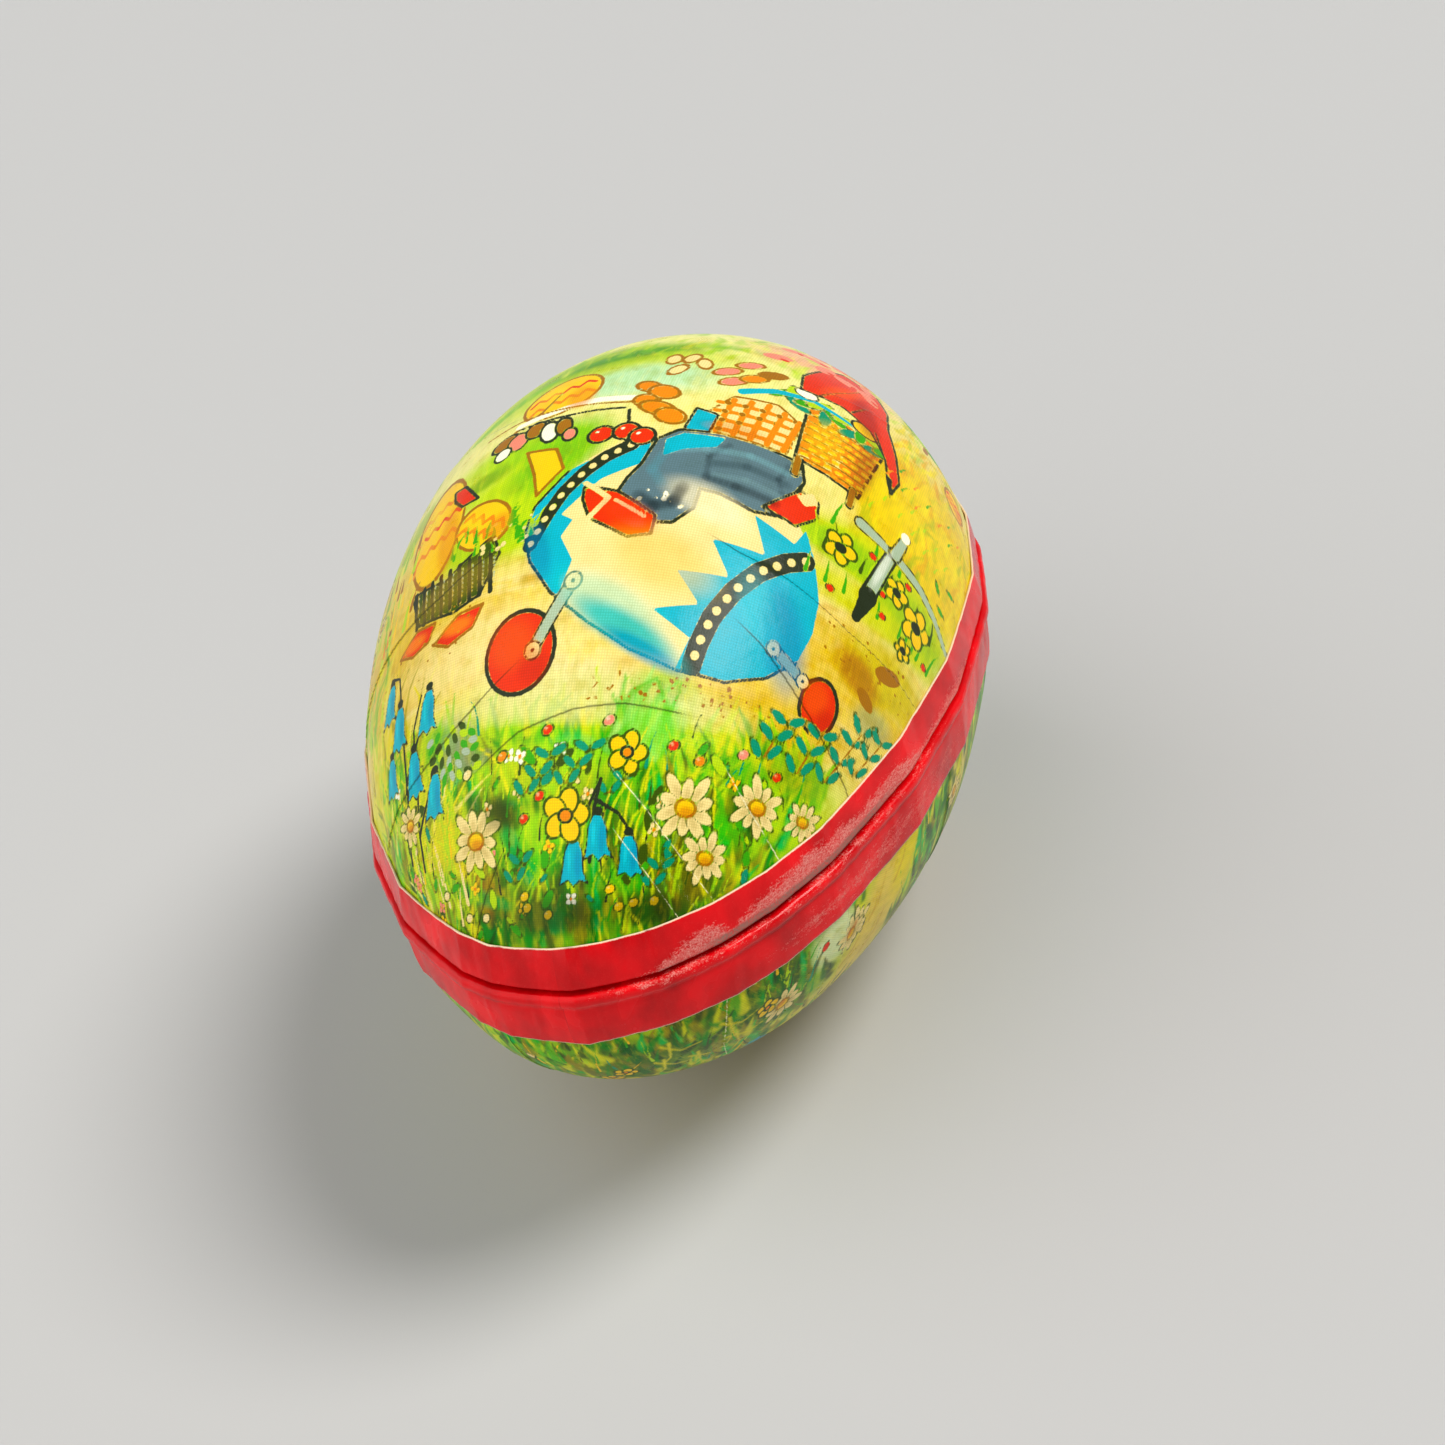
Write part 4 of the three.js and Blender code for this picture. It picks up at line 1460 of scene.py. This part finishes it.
# %% Sockets that do arithmetic
class Signal:
    """A node's output that can be used in ordinary arithmetic."""

    def __init__(self, finish, socket):
        self.finish, self.socket = finish, socket

    def _math(self, operation, first, second=None):
        inputs = {0: first} if second is None else {0: first, 1: second}
        return self.finish.node("ShaderNodeMath", {"operation": operation}, inputs)

    def __add__(self, other):
        return self._math("ADD", self, other)

    def __sub__(self, other):
        return self._math("SUBTRACT", self, other)

    def __rsub__(self, other):
        return self._math("SUBTRACT", other, self)

    def __mul__(self, other):
        return self._math("MULTIPLY", self, other)

    def __truediv__(self, other):
        return self._math("DIVIDE", self, other)

    __radd__, __rmul__ = __add__, __mul__

    def size(self):
        return self._math("ABSOLUTE", self)

    def clamp(self):
        return self.finish.node("ShaderNodeClamp", {}, {0: self})

    def above(self, level, softness):
        """1 where the signal is over a level, 0 below it, with a soft edge."""
        return ((self - level) / softness + 0.5).clamp()


class Finish:
    """One material, and the nodes in it."""

    def __init__(self, name, **constants):
        self.material = bpy.data.materials.new(name)
        self.material.use_nodes = True
        self.tree = self.material.node_tree
        self.tree.nodes.clear()
        self.shader = self.tree.nodes.new("ShaderNodeBsdfPrincipled")
        output = self.tree.nodes.new("ShaderNodeOutputMaterial")
        self.tree.links.new(self.shader.outputs[0], output.inputs[0])
        for socket, value in constants.items():
            self.shader.inputs[socket.replace("_", " ")].default_value = value

    def plug(self, socket, value):
        if isinstance(value, Signal):
            self.tree.links.new(value.socket, socket)
        elif socket.type == "RGBA" and len(value) == 3:
            socket.default_value = (*value, 1)
        else:
            socket.default_value = value

    def node(self, kind, settings, inputs, output=0):
        made = self.tree.nodes.new(kind)
        for name, value in settings.items():
            setattr(made, name, value)
        for key, value in inputs.items():
            self.plug(made.inputs[key], value)
        return Signal(self, made.outputs[output])

    def read(self, name, output="Fac"):
        return self.node("ShaderNodeAttribute", {"attribute_name": name}, {}, output)

    def place(self):
        return self.node("ShaderNodeTexCoord", {}, {}, "Object")

    def noise(self, scale, detail=3, roughness=0.55, at=None, stretch=None):
        at = at or self.place()
        if stretch:
            at = self.node("ShaderNodeVectorMath", {"operation": "MULTIPLY"}, {0: at, 1: stretch})
        return self.node(
            "ShaderNodeTexNoise", {},
            {"Vector": at, "Scale": scale, "Detail": detail, "Roughness": roughness},
        )

    def mix(self, factor, a, b, blend="MIX"):
        return self.node(
            "ShaderNodeMix", {"data_type": "RGBA", "blend_type": blend}, {0: factor, 6: a, 7: b},
            2,
        )

    def bump(self, height, distance, strength=1.0):
        return self.node(
            "ShaderNodeBump", {}, {"Height": height, "Distance": distance, "Strength": strength},
        )

    def finish(self, **sockets):
        for socket, value in sockets.items():
            self.plug(self.shader.inputs[socket.replace("_", " ")], value)
        print(f"{self.material.name}: {len(self.tree.nodes)} nodes")
        return self.material


# %% [markdown]
# ### Printed paper
#
# Thin varnished paper. The inks are laid one after another with crisp, slightly
# wobbly edges. Real offset print is built of tiny dots, so the colour is broken up
# finely, and old varnish gives a soft sheen that follows the wrinkles.

# %% The printed paper's material
PRINT_EDGE = 0.07


def printed_paper(name):
    paper = Finish(name, Specular_IOR_Level=0.13)
    sheet = paper.read("sheet", "Vector")
    wobble = (paper.noise(2.3, 2, 0.6, sheet) - 0.5) * 0.16
    blades = paper.noise(1.0, 3, 0.6, sheet, (1.6, 0.45, 1))
    mottle = paper.noise(0.45, 4, 0.6, sheet)
    dots = paper.node(
        "ShaderNodeTexVoronoi", {"feature": "F1"},
        {"Vector": sheet, "Scale": 4.6, "Randomness": 0.12}, "Distance",
    )
    tint = paper.read("ground", "Color")
    tint = paper.mix((1 - blades.above(0.46, 0.14)) * 0.3, tint, (0.66, 0.76, 0.4), "MULTIPLY")
    tint = paper.mix(blades.above(0.58, 0.12) * 0.16, tint, colour("fbf06a"))
    tint = paper.mix((1 - mottle.above(0.44, 0.1)) * 0.3, tint, (0.86, 0.74, 0.46), "MULTIPLY")
    for ink in ORDER:
        inside = (paper.read("ink_" + ink) + wobble).above(0, PRINT_EDGE)
        tint = paper.mix(inside, tint, colour(INKS[ink]))
    tint = paper.mix(paper.read("glaze_cover").clamp(), tint, paper.read("glaze_tint", "Color"))
    tint = paper.mix((1 - mottle.above(0.46, 0.2)) * 0.22, tint, (0.72, 0.72, 0.6), "MULTIPLY")
    tint = paper.mix(dots.above(0.36, 0.3) * 0.42, tint, (0.56, 0.58, 0.42), "MULTIPLY")
    # Along a slit, a dark line is painted shadow under the lapped edge, partly glue; a pale line is
    # the paper's cut edge.
    slit = paper.read("slit")
    slit_shadow_line = (1 - (slit.size().above(0.06, 0.06))) * paper.read("slit_painted_shadow")
    light_line = (1 - (slit.size().above(0.05, 0.06))) * paper.read("slit_light")
    scuff = paper.noise(1.5, 5, 0.7, sheet)
    tint = paper.mix(slit_shadow_line * 0.65, tint, colour("2b2a16"))
    tint = paper.mix(light_line * scuff.above(0.5, 0.15) * 0.8, tint, colour("f6f0c6"))
    worn = (paper.read("worn") + (scuff - 0.5) * 1.6).above(0.55, 0.12)
    tint = paper.node(
        "ShaderNodeHueSaturation", {}, {"Saturation": 1.18, "Value": 1.05, "Color": tint},
    )
    tint = paper.mix(worn, tint, colour("d9cba6"))
    fibres = paper.noise(900, 4, 0.6)
    soft = paper.noise(260, 3, 0.5)
    height = soft * 0.6 + fibres * 0.5 + dots * 0.06
    return paper.finish(
        Base_Color=tint,
        Roughness=0.2 + 0.2 * mottle + 0.4 * worn,
        Normal=paper.bump(height, 0.00008),
    )


def mark_slits(piece, sheet, slits):
    """Keeps the distance to the nearest slit, and whether it shows a dark line of painted shadow
    under the lapped edge or its pale cut edge.
    """
    nearest = np.full(len(sheet.x), 9.0)
    dark = np.zeros(len(sheet.x))
    light = np.zeros(len(sheet.x))
    for points, _, tone in slits:
        signed, along = side_of_path(sheet.x, sheet.y, points)
        closer = np.abs(signed) < np.abs(nearest)
        nearest = np.where(closer, signed, nearest)
        show = ease(along, 0.0, 0.12)
        # dark marks where the slit shows a line of painted shadow, light where it shows its pale
        # cut edge
        dark = np.where(closer, show * (tone < 0), dark)
        light = np.where(closer, show * (tone > 0), light)
    store(piece, "slit", nearest)
    store(piece, "slit_painted_shadow", dark)
    store(piece, "slit_light", light)


mark_slits(lid_print, lid_sheet, LID_SLITS)
mark_slits(base_print, base_sheet, BASE_SLITS)
base_points = layer(base_alpha, base_psi, BASE, 0)
flat_edge = ease(0.9 - base_points[:, 2], 0, 1.1) * 0.75
store(base_print, "worn", flat_edge)
store(lid_print, "worn", np.zeros(len(lid_alpha)))
print_finish = printed_paper("printed_paper_varnished")

# %% [markdown]
# ### Glossy red paper
#
# The edging is a thin paper with a strong red glaze. Where fingers open the box the
# glaze has rubbed off in ragged patches that show pale, pinkish fibre.

# %% Where the edging is worn: angle round the box, and how far the wear reaches
LID_WEAR = [
    (0, -0.9), (12, -0.7), (17, 0.1), (22, 1.1), (28, 1.8), (31, 0.3), (36, 1.3), (45, 2.0),
    (55, 1.2), (66, 1.4), (72, 0.4), (84, 0.7), (96, -0.6), (150, -0.1), (330, -0.8),
    (352, -0.3), (360, -0.9),
]
BASE_WEAR = [
    (0, -0.7), (8, -0.2), (20, 0.1), (40, -0.1), (60, 0.0), (80, -0.3), (110, -0.5),
    (200, -0.4), (300, -0.5), (340, -0.6), (360, -0.7),
]


def wear_of(piece, side, seed):
    points = np.zeros(len(piece.data.vertices) * 3, np.float32)
    piece.data.attributes["strip"].data.foreach_get("vector", points)
    strip = points.reshape(-1, 3)
    angle, height, depth = strip[:, 0] / RIM_RADIUS, np.abs(strip[:, 1]), strip[:, 2]
    turn = np.degrees(angle)
    if side == LID:
        reach = np.interp(turn, *zip(*LID_WEAR)) + 0.25 - height
    else:
        bead_wear = np.interp(turn, *zip(*BASE_WEAR)) - np.abs(height - 0.35)
        rubbed = 0.62 * ease(turn, 28, 46) * ease(95 - turn, 0, 20)
        reach = np.maximum(bead_wear, rubbed - np.abs(height - 3.2) * 0.4 - 0.6)
    outside = ease(0.3 - depth, 0, 0.2)
    width = (LID_STRIP if side == LID else BASE_STRIP) + cut_edge(angle, seed, CUT_WANDER)
    store(piece, "wear", np.where(outside > 0, reach, -1.5))
    bare = ease(turn, 24, 30) * ease(66 - turn, 0, 8) * ease(0.85 - height, 0, 0.2) * outside
    store(piece, "bare", bare * (side == LID))
    store(piece, "cut", (height - width) * outside - 2 * (1 - outside))


def red_glazed_paper():
    red = Finish("red_glazed_paper_gloss", Specular_IOR_Level=0.16, Coat_Roughness=0.08)
    strip = red.read("strip", "Vector")
    streaks = red.noise(1.6, 5, 0.7, strip, (0.5, 1.5, 1))
    cloud = red.noise(0.22, 3, 0.5, strip)
    fibre = red.noise(7, 4, 0.7, strip, (1, 1.3, 1))
    wear = (red.read("wear") + (streaks - 0.5) * 2.2 + (fibre - 0.5) * 1.8).above(0.15, 0.5)
    tint = red.mix(cloud.above(0.5, 0.35), colour("b80006"), colour("f0000e"))
    tint = red.mix(fibre.above(0.62, 0.2) * 0.12, tint, colour("ff5a50"))
    chalk = red.mix(fibre.above(0.53, 0.26), colour("dc4440"), colour("f0a89c"))
    tint = red.mix(wear * 0.82, tint, chalk)
    tint = red.mix(red.read("bare") * fibre.above(0.42, 0.3) * 0.85, tint, colour("84665a"))
    cut = (red.read("cut") + (fibre - 0.5) * 0.12).above(-0.07, 0.06)
    tint = red.mix(cut * 0.8, tint, colour("f3e6c4"))
    crumple = red.noise(150, 3, 0.5)
    fine = red.noise(700, 3, 0.6)
    height = crumple * 0.8 + fine * 0.12 - wear * 0.35 + wear * fibre * 0.5
    return red.finish(
        Base_Color=tint,
        Roughness=0.2 + 0.12 * cloud + 0.5 * wear,
        Coat_Weight=(1 - wear) * 0.12,
        Normal=red.bump(height, 0.00022, 0.9),
    )


wear_of(lid_edging, LID, LID_SEED)
wear_of(base_edging, BASE, BASE_SEED)
edging_finish = red_glazed_paper()

# %% [markdown]
# ### Pulp, lining and card
#
# These show only when the box is open: rough grey-brown pulp at the rims, a plain
# pale lining pasted in with creases, and grey chipboard with dark fibres.


# %% The plain papers
def fibrous(name, base, dark, light, rough, size, crease=0.0):
    stock = Finish(name, Specular_IOR_Level=0.3)
    fibre = stock.noise(size, 6, 0.7, None, (1, 2.6, 1))
    cloud = stock.noise(90, 4, 0.6)
    fleck = stock.noise(size * 1.7, 2, 0.5)
    tint = stock.mix(cloud.above(0.5, 0.3), colour(base), colour(light))
    tint = stock.mix(fibre.above(0.62, 0.12) * 0.5, tint, colour(light))
    tint = stock.mix(fleck.above(0.69, 0.06) * 0.5, tint, colour(dark))
    ridge = (stock.noise(55, 3, 0.5) - 0.5).size()
    height = fibre * 0.6 + fleck * 0.2 + (1 - ridge * 5).clamp() * crease
    return stock.finish(
        Base_Color=tint, Roughness=rough + 0.1 * cloud, Normal=stock.bump(height, 0.00012),
    )


pulp_finish = fibrous("pulp_raw", "9b8a70", "5a4a36", "b3a488", 0.84, 700)
lining_finish = fibrous("lining_paper_pasted", "efe6cc", "c9b58e", "f7f1de", 0.74, 900, 1.2)
card_finish = fibrous("grey_card_fibrous", "8d877b", "4f4a42", "a8a294", 0.82, 800)

# %% [markdown]
# ## Each piece to its body
#
# The lid's layers ride on the lid and the rest on the base, so the box opens as a
# whole. Each piece stands in for a plain engineering part, which is hidden.

# %% Bodies, parts and finishes
for piece, body, node, slot, finish in [
    (lid_print, "lid", "upper_print", "printed_paper", print_finish),
    (lid_pulp, "lid", "upper_shell", "pulp", pulp_finish),
    (lid_lining, "lid", "upper_lining", "lining_paper", lining_finish),
    (lid_edging, "lid", "upper_edge_tape", "red_glazed_paper", edging_finish),
    (base_print, "base", "lower_print", "printed_paper", print_finish),
    (base_pulp, "base", "lower_shell", "pulp", pulp_finish),
    (base_lining, "base", "lower_lining", "lining_paper", lining_finish),
    (base_edging, "base", "lower_edge_tape", "red_glazed_paper", edging_finish),
    (collar, "base", "collar", "grey_card", card_finish),
]:
    piece.data.materials.append(finish)
    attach(piece, body)
    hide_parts(node)

# %% [markdown]
# ## Floor, light and camera
#
# A plain pale floor, a wide soft sun from the right and behind, a much wider and
# weaker one from the left as fill, and a pale surround. The camera looks down at the
# narrow end and is tilted a little, so that the egg appears to lean.

# %% The floor
FLOOR = 40
floor_mesh = bpy.data.meshes.new("floor")
floor_corners = [(x * FLOOR, y * FLOOR, 0) for x, y in ((-1, -1), (1, -1), (1, 1), (-1, 1))]
floor_mesh.from_pydata(floor_corners, [], [(0, 1, 2, 3)])
floor = bpy.data.objects.new("floor", floor_mesh)
bpy.context.scene.collection.objects.link(floor)
floor_finish = Finish("floor_plain", Base_Color=(0.46, 0.46, 0.455, 1), Roughness=0.75)
floor.data.materials.append(floor_finish.material)
floor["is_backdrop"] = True


# %% The lamps and the surround
def lamp(name, towards, width, power, tint):
    """A distant lamp, this many degrees wide, which lights the whole floor evenly."""
    data = bpy.data.lights.new(name, "SUN")
    data.angle, data.energy, data.color = math.radians(width), power, tint
    holder = bpy.data.objects.new(name, data)
    holder.rotation_mode = "QUATERNION"
    holder.rotation_quaternion = (-Vector(towards)).to_track_quat("-Z", "Y")
    bpy.context.scene.collection.objects.link(holder)


lamp("key", towards=(-0.26, 0.82, 1.14), width=27, power=2.9, tint=(1, 0.98, 0.94))
lamp("fill", towards=(0.75, -1.05, 0.83), width=100, power=2.3, tint=(1, 0.985, 0.95))
SURROUND_TINT, SURROUND_STRENGTH = (0.9, 0.93, 1, 1), 0.27
world = bpy.data.worlds.new("surround")
world.use_nodes = True
background = world.node_tree.nodes["Background"]
background.inputs["Color"].default_value = SURROUND_TINT
background.inputs["Strength"].default_value = SURROUND_STRENGTH
bpy.context.scene.world = world

# %% The camera
CAMERA_AT = Vector((144.4, 50.9, 124.4)) * MM
LOOK_AT = Vector((0.4, 3.8, 22.5)) * MM
CAMERA_UP = Vector((-0.588, 0.0505, 0.807))
FOCAL_LENGTH, SENSOR_WIDTH = 54.8, 36
backward = (CAMERA_AT - LOOK_AT).normalized()
rightward = CAMERA_UP.cross(backward).normalized()
upward = backward.cross(rightward)
lens = bpy.data.cameras.new("camera")
lens.lens, lens.sensor_width = FOCAL_LENGTH, SENSOR_WIDTH
camera = bpy.data.objects.new("camera", lens)
turned = Matrix((rightward, upward, backward)).transposed().to_4x4()
camera.matrix_world = Matrix.Translation(CAMERA_AT) @ turned
bpy.context.scene.collection.objects.link(camera)
bpy.context.scene.camera = camera
print("camera distance:", round((CAMERA_AT - LOOK_AT).length / MM, 1), "mm")

# %% [markdown]
# Blender's usual film-like response pales every bright colour. Printed inks are the
# whole point of this object, so colours are shown just as the materials give them.

# %% How colours are shown
bpy.context.scene.view_settings.view_transform = "Standard"
print("colours shown:", bpy.context.scene.view_settings.view_transform)

# %% [markdown]
# ## Sizes, and the end
#
# The visual model has to stay inside the engineering model's box, so both boxes are
# written down.

# %% Write the sizes and finish
visual_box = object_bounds()
for label, box in (("cad", cad_box), ("visual", visual_box)):
    print(label, [[round(v / MM, 3) for v in corner] for corner in box])
